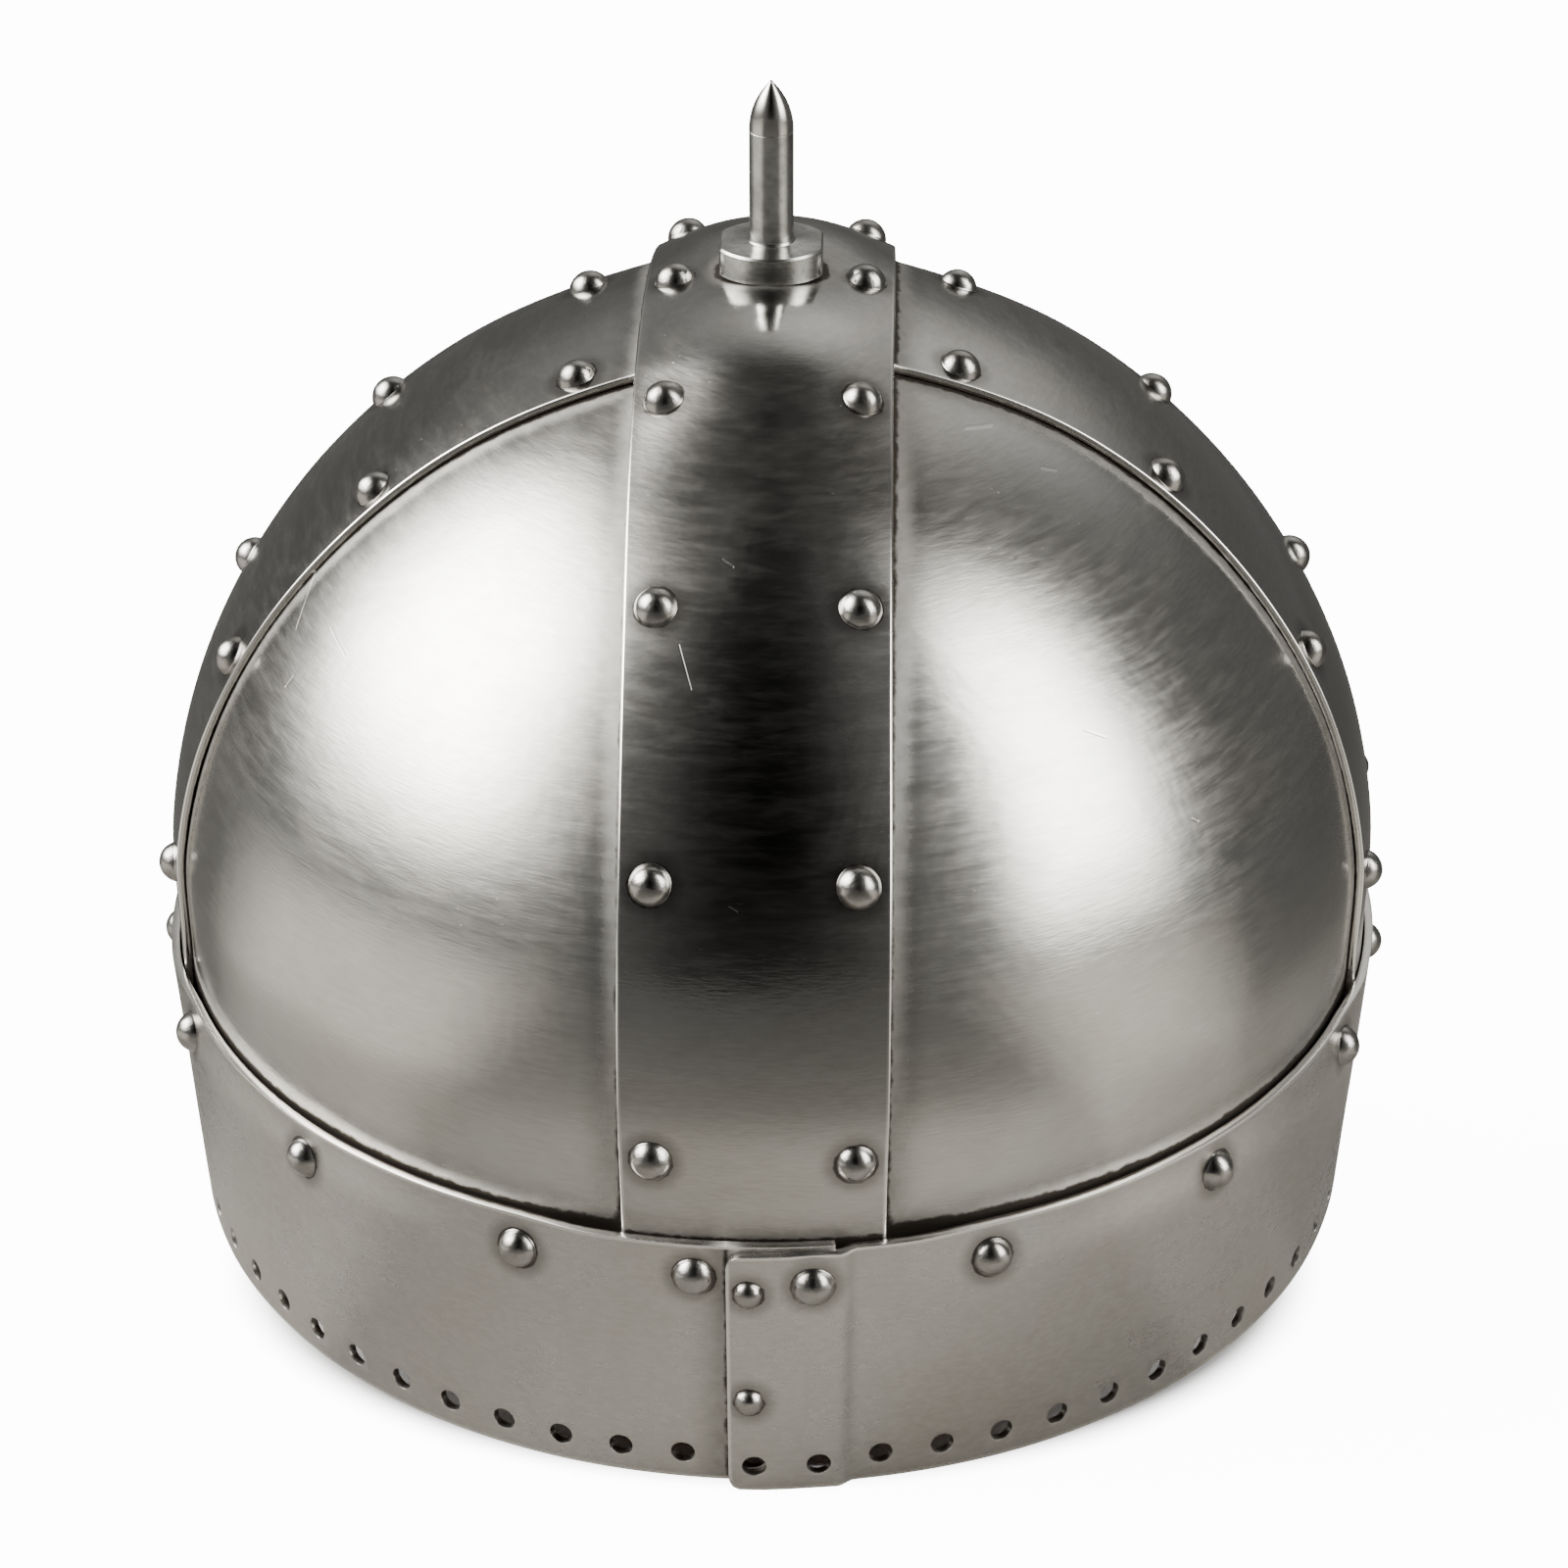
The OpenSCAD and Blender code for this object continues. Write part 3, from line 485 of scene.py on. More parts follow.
# %% Places of the rivets
CREST_X, SIDE_IN = CREST_W / 2 - 5.2, SIDE_W / 2 - 5.2
CREST_TURNS = [19.5, 40.25, 62.6, 84.6]
SIDE_TURNS = [18.1, 40.0, 60.9, 82.2]
REAR_TURNS = [5.07, 21.0, 45.3, 69.5]   # from the middle of the nape, in degrees
FRONT_TURNS = [5.0, 21.0, 45.0, 69.0]   # from the middle of the brow
SIDE_RIVETS = [1.6, -181.6]             # one over each ear
BAND_RIVET_Z = 42.1
LAP_RIVET = len(REAR_TURNS)             # the rivet that also holds the band's lap
HEAD_R, SEAM_HEAD_R = 3.5, 2.5


def rivet_row(surface, pairs):
    return facing(surface, np.array([p[0] for p in pairs]), np.array([p[1] for p in pairs]))


def two_lines(half_way, turns):
    return [(s * half_way, t) for s in (1, -1) for t in turns]


band_turns = [90 - t for t in REAR_TURNS] + [t - 270 for t in REAR_TURNS]
band_turns += [-90 + s * t for t in FRONT_TURNS for s in (1, -1)] + SIDE_RIVETS
rows = {
    "rivets_crest_rear": rivet_row(crest_surface, two_lines(CREST_X, CREST_TURNS)),
    "rivets_crest_front": rivet_row(crest_surface, two_lines(CREST_X, [-t for t in CREST_TURNS])),
    "rivets_crown": rivet_row(crest_surface, two_lines(CREST_X, [0.0])),
    "rivets_side_left": rivet_row(side_surface(1), two_lines(SIDE_IN, SIDE_TURNS)),
    "rivets_side_right": rivet_row(side_surface(-1), two_lines(SIDE_IN, SIDE_TURNS)),
    "rivets_brow_band": rivet_row(band_surface, [(a, BAND_RIVET_Z) for a in band_turns]),
    "rivets_band_seam": rivet_row(band_surface, [(-270.4, 41.0), (-270.4, 18.8)]),
}
all_rivets = np.concatenate([places for places, _ in rows.values()])
rivet_heads = np.concatenate([np.full(len(places), SEAM_HEAD_R if "seam" in name else HEAD_R)
    for name, (places, _) in rows.items()])
print("rivets:", {name: len(places) for name, (places, _) in rows.items()})

# %% [markdown]
# A sheet is built from its outer side: a grid of points, joined into four-sided faces. Solidify
# then gives it the metal's thickness and Bevel rounds the cut edges, which catch the light as a
# thin bright line. The strips' edges were filed rounder than the others and shine more broadly.
# The modifiers are turned into a plain mesh, so that nothing changes later. Every point also
# remembers how far it is from an edge, from a neighbour's edge and from a rivet's head, which
# places wear and stains exactly.

# %% Helpers for sheets
def grid_faces(count_u, count_v, keep=None):
    faces = []
    for i in range(count_u - 1):
        for j in range(count_v - 1):
            if keep is None or keep(i, j):
                k = i * count_v + j
                faces.append((k, k + count_v, k + count_v + 1, k + 1))
    return faces


def mesh_object(name, points, faces, marks=None):
    mesh = bpy.data.meshes.new(name)
    mesh.from_pydata([tuple(p) for p in stood(points)], [], faces)
    for title, values in (marks or {}).items():
        layer = mesh.attributes.new(title, "FLOAT", "POINT")
        layer.data.foreach_set("value", np.asarray(values, float))
    mesh.validate()
    return linked(name, mesh)


def outward_faces(obj, centre=(0, 0, 40)):
    # turns the whole sheet round if its faces point inwards
    mesh = obj.data
    middle = Vector(stood(centre)[0])
    score = sum(p.normal.dot(p.center - middle) * p.area for p in mesh.polygons)
    if score < 0:
        mesh.flip_normals()


def thickened(obj, thick, bevel, segments):
    # the wall grows inwards from the outer side, and its edges are rounded, both given in millimetres
    wall = obj.modifiers.new("thickness", "SOLIDIFY")
    wall.thickness, wall.offset, wall.use_even_offset = thick / 1000, -1, True
    edge = obj.modifiers.new("rounded edges", "BEVEL")
    edge.width, edge.segments = bevel / 1000, segments
    edge.limit_method, edge.angle_limit = "ANGLE", math.radians(50)


def plain(obj):
    # modifiers become mesh
    graph = bpy.context.evaluated_depsgraph_get()
    made = bpy.data.meshes.new_from_object(obj.evaluated_get(graph), depsgraph=graph)
    obj.modifiers.clear()
    old, obj.data = obj.data, made
    made.name = old.name
    bpy.data.meshes.remove(old)
    return made


def shaded(mesh, sharp):
    # smooth all over, but for edges that bend by more than the sharp angle
    mesh.shade_smooth()
    mesh.set_sharp_from_angle(angle=math.radians(sharp))


def sheet(name, points, faces, thick, marks, bevel=0.3, segments=2):
    obj = mesh_object(name, points, faces, marks)
    outward_faces(obj)
    thickened(obj, thick, bevel, segments)
    shaded(plain(obj), 35)
    print(name, "faces", len(obj.data.polygons))
    return obj


def rivet_distance(points):
    p = np.asarray(points, float).reshape(-1, 3)
    near = np.full(len(p), 1e3)
    for place, head in zip(all_rivets, rivet_heads):
        near = np.minimum(near, np.linalg.norm(p - place, axis=1) - head)
    return near


def spaced(low, high, step, fine=0.45):
    # even steps with one finer step at either end
    n = max(2, round((high - low) / step))
    inner = np.linspace(low, high, n + 1)[1:-1]
    return np.concatenate([[low, low + fine], inner, [high - fine, high]])


pieces = {}
print("points across the crest strip:", len(spaced(-CREST_W / 2, CREST_W / 2, 2.1)))

# %% [markdown]
# The plates were raised from flat sheet. They are quarter domes, cut straight at the seams, and
# their edges are hidden: the crest strip and side strips cover the seams and the band covers the
# lower edge. Soft low waves in the surface bend the reflections as hammered and ground steel does.

# %% Four bowl plates
HIDDEN_MM = 9.0                 # an edge that lies under another sheet never shines
downs = np.concatenate([[2.3], np.linspace(3.5, END_PLATE, 82)])
shares = np.linspace(0, 1, 72)
down, share = np.meshgrid(downs, shares, indexing="ij")
for plate_name, side, end in (("plate_rear_left", 1, 1), ("plate_rear_right", -1, 1),
        ("plate_front_left", 1, -1), ("plate_front_right", -1, -1)):
    points = plate_surface(side, end)(down, share).reshape(-1, 3)
    x, y, z = points.T
    lie = strip_lie(side, np.arctan2(np.abs(x), z - LEVEL))
    gap = np.minimum(np.abs(x) - CREST_W / 2, end * (y - lie) - SIDE_W / 2)
    gap = np.minimum(gap, z - BAND_H - 0.7)
    pieces[plate_name] = sheet(plate_name, points, grid_faces(len(downs), len(shares)), PLATE_T,
        {"gap_mm": gap, "rivet_mm": rivet_distance(points),
            "edge_mm": np.full(len(points), HIDDEN_MM)})

# %% [markdown]
# The crest strip runs over the whole helmet from nape to forehead and lies on top of everything at
# the crown. The side strips lie below it. All three are plain bands of sheet that follow the bowl.

# %% Crest strip and side strips
FLANGE_R = 9.8                  # the spike's flange
STRIP_EDGE = {"bevel": 0.6, "segments": 3}


def strip_grid(width, step, along):
    across = spaced(-width / 2, width / 2, step)
    u, v = np.meshgrid(across, along, indexing="ij")
    return u, v, grid_faces(len(across), len(along))


def waved(points, seed, high, share):
    # low waves along the bowl's own outward direction
    waves = ripple(points, seed, 40, high)[:, None]
    return points + waves * (points - [0, 0, LEVEL]) / MID_R * share.reshape(-1, 1)


u, v, faces = strip_grid(CREST_W, 2.1, np.linspace(-END_CREST, END_CREST, 220))
points = waved(crest_surface(u, v).reshape(-1, 3), 3, 0.06, ease(15, 30, np.abs(v)))
from_flange = np.hypot(points[:, 0], points[:, 1]) - (FLANGE_R - 0.2)
pieces["crest_strip"] = sheet("crest_strip", points, faces, STRIP_T,
    {"gap_mm": np.minimum(points[:, 2] - BAND_H, from_flange),
        "rivet_mm": rivet_distance(points), "edge_mm": CREST_W / 2 - np.abs(u).ravel()}, **STRIP_EDGE)
for strip_name, side in (("side_strip_left", 1), ("side_strip_right", -1)):
    u, v, faces = strip_grid(SIDE_W, 2.2, np.linspace(0.6, END_SIDE, 110))
    points = side_surface(side)(u, v).reshape(-1, 3)
    points = waved(points, 21 + side, 0.05, ease(15, 30, v) * (1 - ease(75, 88, v)))
    gap = np.minimum(np.abs(points[:, 0]) - CREST_W / 2, points[:, 2] - BAND_H)
    pieces[strip_name] = sheet(strip_name, points, faces, STRIP_T, {"gap_mm": gap,
        "rivet_mm": rivet_distance(points), "edge_mm": SIDE_W / 2 - np.abs(u).ravel()}, **STRIP_EDGE)

# %% [markdown]
# The brow band is one long strip bent round the bowl. Its ends lap at the nape: the outer end
# steps up over the inner one and hangs a millimetre lower. Along its lower edge runs a row of holes
# for a mail curtain. In the grid a block of six by six cells is taken out for each hole, and the
# square opening is joined to a circle, so every hole is truly round. Under the lap the inner layer
# has a wider hole, so that the outer one's hole goes through both.

# %% Columns and rows of the band's grid
HOLE_PITCH, HOLE_Z, HOLE_R = 5.73, 5.2, 2.0     # the pitch is in degrees
LAP_HOLE_R = 2.6
HOLE_CELLS = 11                 # columns from one hole to the next
HOLES_EACH_WAY = 21             # from the middle of the nape round to each side
HALF_BLOCK = 3
cell = HOLE_PITCH / HOLE_CELLS
left_first, right_first = 89.25, -270.0
reach = (HOLES_EACH_WAY - 1) * HOLE_PITCH + 6.5 * cell
left_angles = np.arange(left_first + 14 * cell, left_first - reach, -cell)
left_angles = np.concatenate([[INNER_END], left_angles])
right_angles = np.arange(right_first - 4 * cell, right_first + reach, cell)
right_angles = np.concatenate([right_angles, [OUTER_END]])
right_angles = np.sort(right_angles[right_angles >= OUTER_END])[::-1]
middle_angles = np.linspace(left_angles[-1], right_angles[0], 100)[1:-1]
angles = np.concatenate([left_angles, middle_angles, right_angles])
levels = np.array([0, 0.4, 1.1, 2.2, 3.2, 4.2, HOLE_Z, 6.2, 7.2, 8.2, 9.6, 11.4, 13.5, 16, 18.5, 21,
    23.5, 26, 28.5, 31, 33.5, 36, 38, 40, 42, 43.6, 45, 46.2, 47.2, 48.0, BAND_H])
HOLE_ROW = 6
hole_turns = [left_first - k * HOLE_PITCH for k in range(HOLES_EACH_WAY)]
hole_turns[0] += cell           # the wider hole under the lap
hole_turns += [right_first + k * HOLE_PITCH for k in range(HOLES_EACH_WAY)]
hole_columns = [int(np.argmin(np.abs(angles - a))) for a in hole_turns]
print("columns", len(angles), "rows", len(levels), "holes", len(hole_columns))

# %% Brow band
END_CORNER_R = 2.6
u, v = np.meshgrid(angles, levels, indexing="ij")
flat = np.column_stack([u.ravel(), v.ravel()])
# the outer end's two corners are rounded
end_off = (flat[:, 0] - OUTER_END) * NAPE_MM
for low_corner in (True, False):
    off = flat[:, 1] if low_corner else BAND_H - flat[:, 1]
    inside = (end_off < END_CORNER_R) & (off < END_CORNER_R)
    a, b = 1 - end_off[inside] / END_CORNER_R, 1 - off[inside] / END_CORNER_R
    a, b = a * np.sqrt(1 - b * b / 2), b * np.sqrt(1 - a * a / 2)
    flat[inside, 0] = OUTER_END + (1 - a) * END_CORNER_R / NAPE_MM
    flat[inside, 1] = (1 - b) * END_CORNER_R if low_corner else BAND_H - (1 - b) * END_CORNER_R
block = range(-HALF_BLOCK, HALF_BLOCK)
taken = {(c + i, HOLE_ROW + j) for c in hole_columns for i in block for j in block}
# the inner end's lower corner is left out, where the outer end's second hole goes through
taken |= {(i, j) for i in range(7) for j in range(9)}
faces = grid_faces(len(angles), len(levels), lambda i, j: (i, j) not in taken)
steps = range(2 * HALF_BLOCK)
ring = [(i - HALF_BLOCK, -HALF_BLOCK) for i in steps] + [(HALF_BLOCK, i - HALF_BLOCK) for i in steps]
ring += [(-i, -j) for i, j in ring]
extra = []
for c in hole_columns:
    beside = band_surface(angles[c] + 0.5, HOLE_Z) - band_surface(angles[c] - 0.5, HOLE_Z)
    per_degree = float(np.linalg.norm(beside))
    wide = LAP_HOLE_R if c == hole_columns[0] else HOLE_R
    start = len(flat) + len(extra)
    for i, j in ring:
        way = math.atan2(levels[HOLE_ROW + j] - HOLE_Z, (angles[c + i] - angles[c]) * per_degree)
        extra.append((angles[c] + wide * math.cos(way) / per_degree, HOLE_Z + wide * math.sin(way)))
    square = [(c + i) * len(levels) + HOLE_ROW + j for i, j in ring]
    for k in range(len(ring)):
        n = (k + 1) % len(ring)
        faces.append((square[k], square[n], start + n, start + k))
flat = np.concatenate([flat, np.array(extra)])
points = band_surface(flat[:, 0], flat[:, 1])
edge_mm = np.minimum(flat[:, 1], BAND_H - flat[:, 1])
edge_mm = np.minimum(edge_mm, np.abs(flat[:, 0] - OUTER_END) * NAPE_MM)
under = (flat[:, 0] > 60) & (flat[:, 0] <= INNER_END)
OUTER_END_X = 4.4               # the inner layer is stained along the outer end
gap_mm = np.where(under, np.abs(points[:, 0] - OUTER_END_X), 99.0)
pieces["brow_band"] = sheet("brow_band", points, faces, BAND_T,
    {"gap_mm": gap_mm, "rivet_mm": rivet_distance(points), "edge_mm": edge_mm}, bevel=0.22)
print("band points", len(points))

# %% [markdown]
# The spectacle guard is one stout sheet: a plate riveted to the band, a loop round each eye and a
# ridged nose guard between them. Its outline is drawn flat, filled, cut into small cells and then
# wrapped on the band's cone. Raised brows and the nose ridge are pressed out of it.

# %% Spectacle guard
GUARD_T, GUARD_IN = 2.0, BAND_T + LAY
GUARD_HALF, GUARD_TOP, GUARD_LOW, GUARD_CORNER = 80.0, 27.0, 2.0, 8.0
EYE_X, EYE_Z, EYE_RX, EYE_RZ = 37.0, -20.0, 22.5, 15.5
LOOP_RX, LOOP_RZ, INNER_CORNER = 31.0, 26.0, 6.0
NOSE_HALF, NOSE_DROP, NOSE_RISE, BROW_RISE = 12.0, 48.0, 11.0, 1.6


def arc(cx, cz, rx, rz, start, end, count):
    turns = np.radians(np.linspace(start, end, count))
    return [(cx + rx * math.cos(t), cz + rz * math.sin(t)) for t in turns]


def corner_circle(turn):
    # centre of the rounded corner that touches the loop at this angle, and its outward direction
    t = math.radians(turn)
    out = np.array([math.cos(t) / LOOP_RX, math.sin(t) / LOOP_RZ])
    out /= np.linalg.norm(out)
    on_loop = np.array([LOOP_RX * math.cos(t), LOOP_RZ * math.sin(t)])
    return on_loop + INNER_CORNER * out, out


# halving finds the angle at which the corner also touches the plate's lower edge
low_turn, high_turn = 0.0, 90.0
for _ in range(24):
    half_turn = (low_turn + high_turn) / 2
    if corner_circle(half_turn)[0][1] + INNER_CORNER + EYE_Z > GUARD_LOW:
        high_turn = half_turn
    else:
        low_turn = half_turn
centre, out = corner_circle(low_turn)
corner_x, corner_turn = GUARD_HALF - GUARD_CORNER, 180 + math.degrees(math.atan2(out[1], out[0]))
half_outline = [(0.0, GUARD_TOP)]
half_outline += arc(corner_x, GUARD_TOP - GUARD_CORNER, GUARD_CORNER, GUARD_CORNER, 90, 0, 10)
half_outline += arc(corner_x, GUARD_LOW + GUARD_CORNER, GUARD_CORNER, GUARD_CORNER, 0, -90, 10)
half_outline += arc(EYE_X + centre[0], EYE_Z + centre[1], INNER_CORNER, INNER_CORNER, 90,
    corner_turn, 10)
nose_turn = -math.degrees(math.acos((NOSE_HALF - EYE_X) / LOOP_RX))
half_outline += arc(EYE_X, EYE_Z, LOOP_RX, LOOP_RZ, low_turn, nose_turn, 56)[1:]
half_outline += [(NOSE_HALF, -38.0), (11.8, -41.0), (11.2, -44.0), (10.0, -46.2), (8.2, -47.5),
    (6.0, -NOSE_DROP), (0.0, -NOSE_DROP)]
outline = half_outline + [(-x, z) for x, z in half_outline[-2:0:-1]]
eye_rings = [arc(s * EYE_X, EYE_Z, EYE_RX, EYE_RZ, 0, 360, 97)[:-1] for s in (1, -1)]


def filled(rings, step):
    shape = bmesh.new()
    rims = []
    for ring in rings:
        corners = [shape.verts.new((x, 0, z)) for x, z in ring]
        rims += [shape.edges.new((corners[i - 1], corners[i])) for i in range(len(corners))]
    bmesh.ops.triangle_fill(shape, use_beauty=True, use_dissolve=False, edges=rims)
    for axis, low, high in ((0, -GUARD_HALF, GUARD_HALF), (2, -NOSE_DROP, GUARD_TOP)):
        for k in range(int(low / step), int(high / step) + 1):
            at = [0, 0, 0]
            at[axis] = k * step + 0.013
            normal = [0, 0, 0]
            normal[axis] = 1
            everything = shape.verts[:] + shape.edges[:] + shape.faces[:]
            bmesh.ops.bisect_plane(shape, geom=everything, dist=1e-4, plane_co=at, plane_no=normal)
    slanted = []
    for e in shape.edges:
        run = e.verts[0].co - e.verts[1].co
        if len(e.link_faces) == 2 and min(abs(run.x), abs(run.z)) > 1e-3:
            slanted.append(e)
    bmesh.ops.dissolve_edges(shape, edges=slanted, use_verts=False)
    shape.verts.index_update()
    points = np.array([(v.co.x, v.co.z) for v in shape.verts])
    faces = [[v.index for v in f.verts] for f in shape.faces]
    shape.free()
    return points, faces


def guard_surface(x, z):
    x, z = np.broadcast_arrays(np.asarray(x, float), np.asarray(z, float))
    a, b = band_axes(GUARD_IN + GUARD_T, z)
    y = -b * np.sqrt(1 - np.clip(x / a, -1, 1) ** 2)
    ridge = NOSE_RISE * np.interp(-z, [-3, 1, 14, 32, 38, 45, NOSE_DROP],
        [0, 0.03, 0.35, 0.75, 0.9, 1, 1])
    fold = np.clip(1 - np.sqrt(x * x + 0.8) / 13.5, 0, 1)
    dx, dz = np.abs(x) - EYE_X, z - EYE_Z
    inner, outer = np.hypot(dx / 23.5, dz / 18.5) - 1, 1 - np.hypot(dx / 31, dz / 25)
    across = np.clip(inner / np.maximum(inner + outer, 1e-6), 0, 1) * (inner > 0) * (outer > 0)
    brow = BROW_RISE * np.sin(math.pi * across) ** 0.8 * ease(1, 7, dz)
    return np.stack([x, y - ridge * fold - brow, z], -1)


flat_points, faces = filled([outline] + eye_rings, 2.5)
points = guard_surface(flat_points[:, 0], flat_points[:, 1])
from_rim = np.full(len(points), 99.0)
for ring in [outline] + eye_rings:
    ends = np.array(ring)
    begins = np.roll(ends, 1, axis=0)
    for a, b in zip(begins, ends):
        t = np.clip(((flat_points - a) @ (b - a)) / max((b - a) @ (b - a), 1e-9), 0, 1)
        away = flat_points - a - t[:, None] * (b - a)
        from_rim = np.minimum(from_rim, np.linalg.norm(away, axis=1))
GUARD_RIVETS = [(x, 18.0) for x in (-65, -33, 0, 33, 65)]
rows["rivets_guard"] = rivet_row(guard_surface, GUARD_RIVETS)
guard_near = np.min([np.linalg.norm(points - p, axis=1) for p in rows["rivets_guard"][0]], axis=0)
guard = mesh_object("spectacle_guard", points, faces,
    {"gap_mm": np.full(len(points), 99.0), "rivet_mm": guard_near - HEAD_R, "edge_mm": from_rim})
outward_faces(guard, (0, 0, 0))
guard.data.shade_smooth()
thickened(guard, GUARD_T, 0.5, 2)
guard.modifiers.new("even shading", "WEIGHTED_NORMAL").keep_sharp = False
pieces["spectacle_guard"] = guard
print("guard faces", len(plain(guard).polygons))

# %% [markdown]
# A rivet is set by hand: a shank through the sheets, a domed head outside and a hammered tail
# inside. There are over sixty, all alike but none the same, so Geometry Nodes set them. The tree
# takes a point for each rivet with its outward direction and its grip, and makes head, shank and
# tail with small differences of size, tilt and surface.

# %% Geometry Nodes: set rivets
def field(tree, kind, title):
    made = node(tree, "GeometryNodeInputNamedAttribute", {"Name": title}, data_type=kind)
    return made.outputs["Attribute"]


def random_between(tree, kind, low, high, seed):
    made = node(tree, "FunctionNodeRandomValue", data_type=kind)
    first = {"FLOAT_VECTOR": 0, "FLOAT": 2}[kind]
    made.inputs[first].default_value, made.inputs[first + 1].default_value = low, high
    tree.links.new(seed, made.inputs["Seed"])
    return made.outputs["Value" if kind == "FLOAT_VECTOR" else 1]


set_rivets, given, result = new_group("set_rivets", "GeometryNodeTree", [
    ("Places", "Geometry", None), ("Head diameter", "Float", 0.002 * HEAD_R),
    ("Head height", "Float", 0.0027), ("Shank diameter", "Float", 0.004),
    ("Tail diameter", "Float", 0.0064), ("Unevenness", "Float", 0.00012), ("Seed", "Int", 1),
    ("Steel", "Material", None)], [("Rivets", "Geometry")])
t = set_rivets
outward, grip = field(t, "FLOAT_VECTOR", "outward"), field(t, "FLOAT", "grip")
tilt = random_between(t, "FLOAT_VECTOR", (-0.05,) * 3, (0.05,) * 3, given["Seed"])
tilted = vector_node(t, "ADD", outward, tilt)
pose = node(t, "FunctionNodeAlignRotationToVector", {"Vector": tilted}, axis="Z").outputs[0]
# a cap of this width and height is cut from a ball of this radius
half_d = times(t, given["Head diameter"], 0.5)
square = added(t, times(t, half_d, half_d), times(t, given["Head height"], given["Head height"]))
radius = divided(t, divided(t, square, given["Head height"]), 2.0)


def cap(ball, shift, keep, limit):
    # a ball moved along its axis and pressed flat at a level: a closed dome
    moved = node(t, "GeometryNodeTransform", {"Geometry": ball,
        "Translation": node(t, "ShaderNodeCombineXYZ", {"Z": shift}).outputs[0]}).outputs[0]
    position = node(t, "GeometryNodeInputPosition").outputs[0]
    place = node(t, "ShaderNodeSeparateXYZ", {0: position}).outputs
    level = math_node(t, keep, place["Z"], limit)
    flat = node(t, "ShaderNodeCombineXYZ", {"X": place["X"], "Y": place["Y"], "Z": level}).outputs[0]
    return node(t, "GeometryNodeSetPosition", {"Geometry": moved, "Position": flat}).outputs[0]


ball = node(t, "GeometryNodeMeshUVSphere", {"Segments": 32, "Rings": 20, "Radius": radius}).outputs[0]
head = cap(ball, less(t, given["Head height"], radius), "MAXIMUM", -0.0003)
size = random_between(t, "FLOAT", 0.96, 1.04, given["Seed"])
heads = node(t, "GeometryNodeInstanceOnPoints", {"Points": given["Places"], "Instance": head,
    "Rotation": pose, "Scale": size}).outputs[0]
lower = node(t, "GeometryNodeSetPosition", {"Geometry": given["Places"],
    "Offset": vector_node(t, "SCALE", outward, scale=times(t, grip, -1.0))}).outputs[0]
small = node(t, "GeometryNodeMeshUVSphere", {"Segments": 20, "Rings": 12,
    "Radius": times(t, given["Tail diameter"], 0.5)}).outputs[0]
squashed = node(t, "GeometryNodeTransform", {"Geometry": small, "Scale": (1.0, 1.0, 0.36)}).outputs[0]
tail = cap(squashed, 0.0, "MINIMUM", 0.0001)
tails = node(t, "GeometryNodeInstanceOnPoints", {"Points": lower, "Instance": tail, "Rotation": pose,
    "Scale": random_between(t, "FLOAT", 0.9, 1.06, given["Seed"])}).outputs[0]
half_way = node(t, "GeometryNodeSetPosition", {"Geometry": given["Places"],
    "Offset": vector_node(t, "SCALE", outward, scale=times(t, grip, -0.5))}).outputs[0]
shank = node(t, "GeometryNodeMeshCylinder", {"Vertices": 16,
    "Radius": times(t, given["Shank diameter"], 0.5), "Depth": 1.0}).outputs[0]
straight = node(t, "FunctionNodeAlignRotationToVector", {"Vector": outward}, axis="Z").outputs[0]
as_long = node(t, "ShaderNodeCombineXYZ", {"X": 1.0, "Y": 1.0, "Z": grip}).outputs[0]
shanks = node(t, "GeometryNodeInstanceOnPoints", {"Points": half_way, "Instance": shank,
    "Rotation": straight, "Scale": as_long}).outputs[0]
joined = node(t, "GeometryNodeJoinGeometry")
for part in (shanks, tails, heads):
    t.links.new(part, joined.inputs[0])
real = node(t, "GeometryNodeRealizeInstances", {0: joined.outputs[0]}).outputs[0]
blows = node(t, "ShaderNodeTexNoise", {"Scale": 420.0, "Detail": 1.0}).outputs[0]
push = times(t, less(t, blows, 0.5), given["Unevenness"])
normal = node(t, "GeometryNodeInputNormal").outputs[0]
uneven = node(t, "GeometryNodeSetPosition", {"Geometry": real,
    "Offset": vector_node(t, "SCALE", normal, scale=push)}).outputs[0]
smooth = node(t, "GeometryNodeSetShadeSmooth", {0: uneven}).outputs[0]
finished = node(t, "GeometryNodeSetMaterial", {"Geometry": smooth, "Material": given["Steel"]})
t.links.new(finished.outputs[0], result["Rivets"])


def grown(name, tree, points, edges, marks, values):
    # runs a tree on points or lines and keeps the result as a plain mesh
    mesh = bpy.data.meshes.new(name)
    mesh.from_pydata([tuple(p) for p in stood(points)], edges, [])
    for title, data in marks.items():
        data = np.asarray(data, float)
        kind, key = ("FLOAT_VECTOR", "vector") if data.ndim == 2 else ("FLOAT", "value")
        mesh.attributes.new(title, kind, "POINT").data.foreach_set(key, data.ravel())
    obj = linked(name, mesh)
    modifier = obj.modifiers.new(tree.name, "NODES")
    modifier.node_group = tree
    for item in tree.interface.items_tree:
        if item.in_out == "INPUT" and item.name in values:
            modifier[item.identifier] = values[item.name]
    print(name, "from", len(points), "points, faces", len(plain(obj).polygons))
    return obj


print("rivet tree nodes", len(set_rivets.nodes))

# %% [markdown]
# Steel that was ground satin isn't one even grey. It has a fine grain, cloudy patches, thin
# scratches, a few single deeper ones, brown stains in the corners between the sheets and round the
# rivets, and bright worn edges. Each of these effects is a small shader group, used by several
# materials with its own values. The groups read a position in millimetres in the upright helmet's
# frame. Grime is a softer mask than the stain: it only dulls the steel towards a neighbour's edge,
# because a ragged change of dullness would shine as a light fringe.

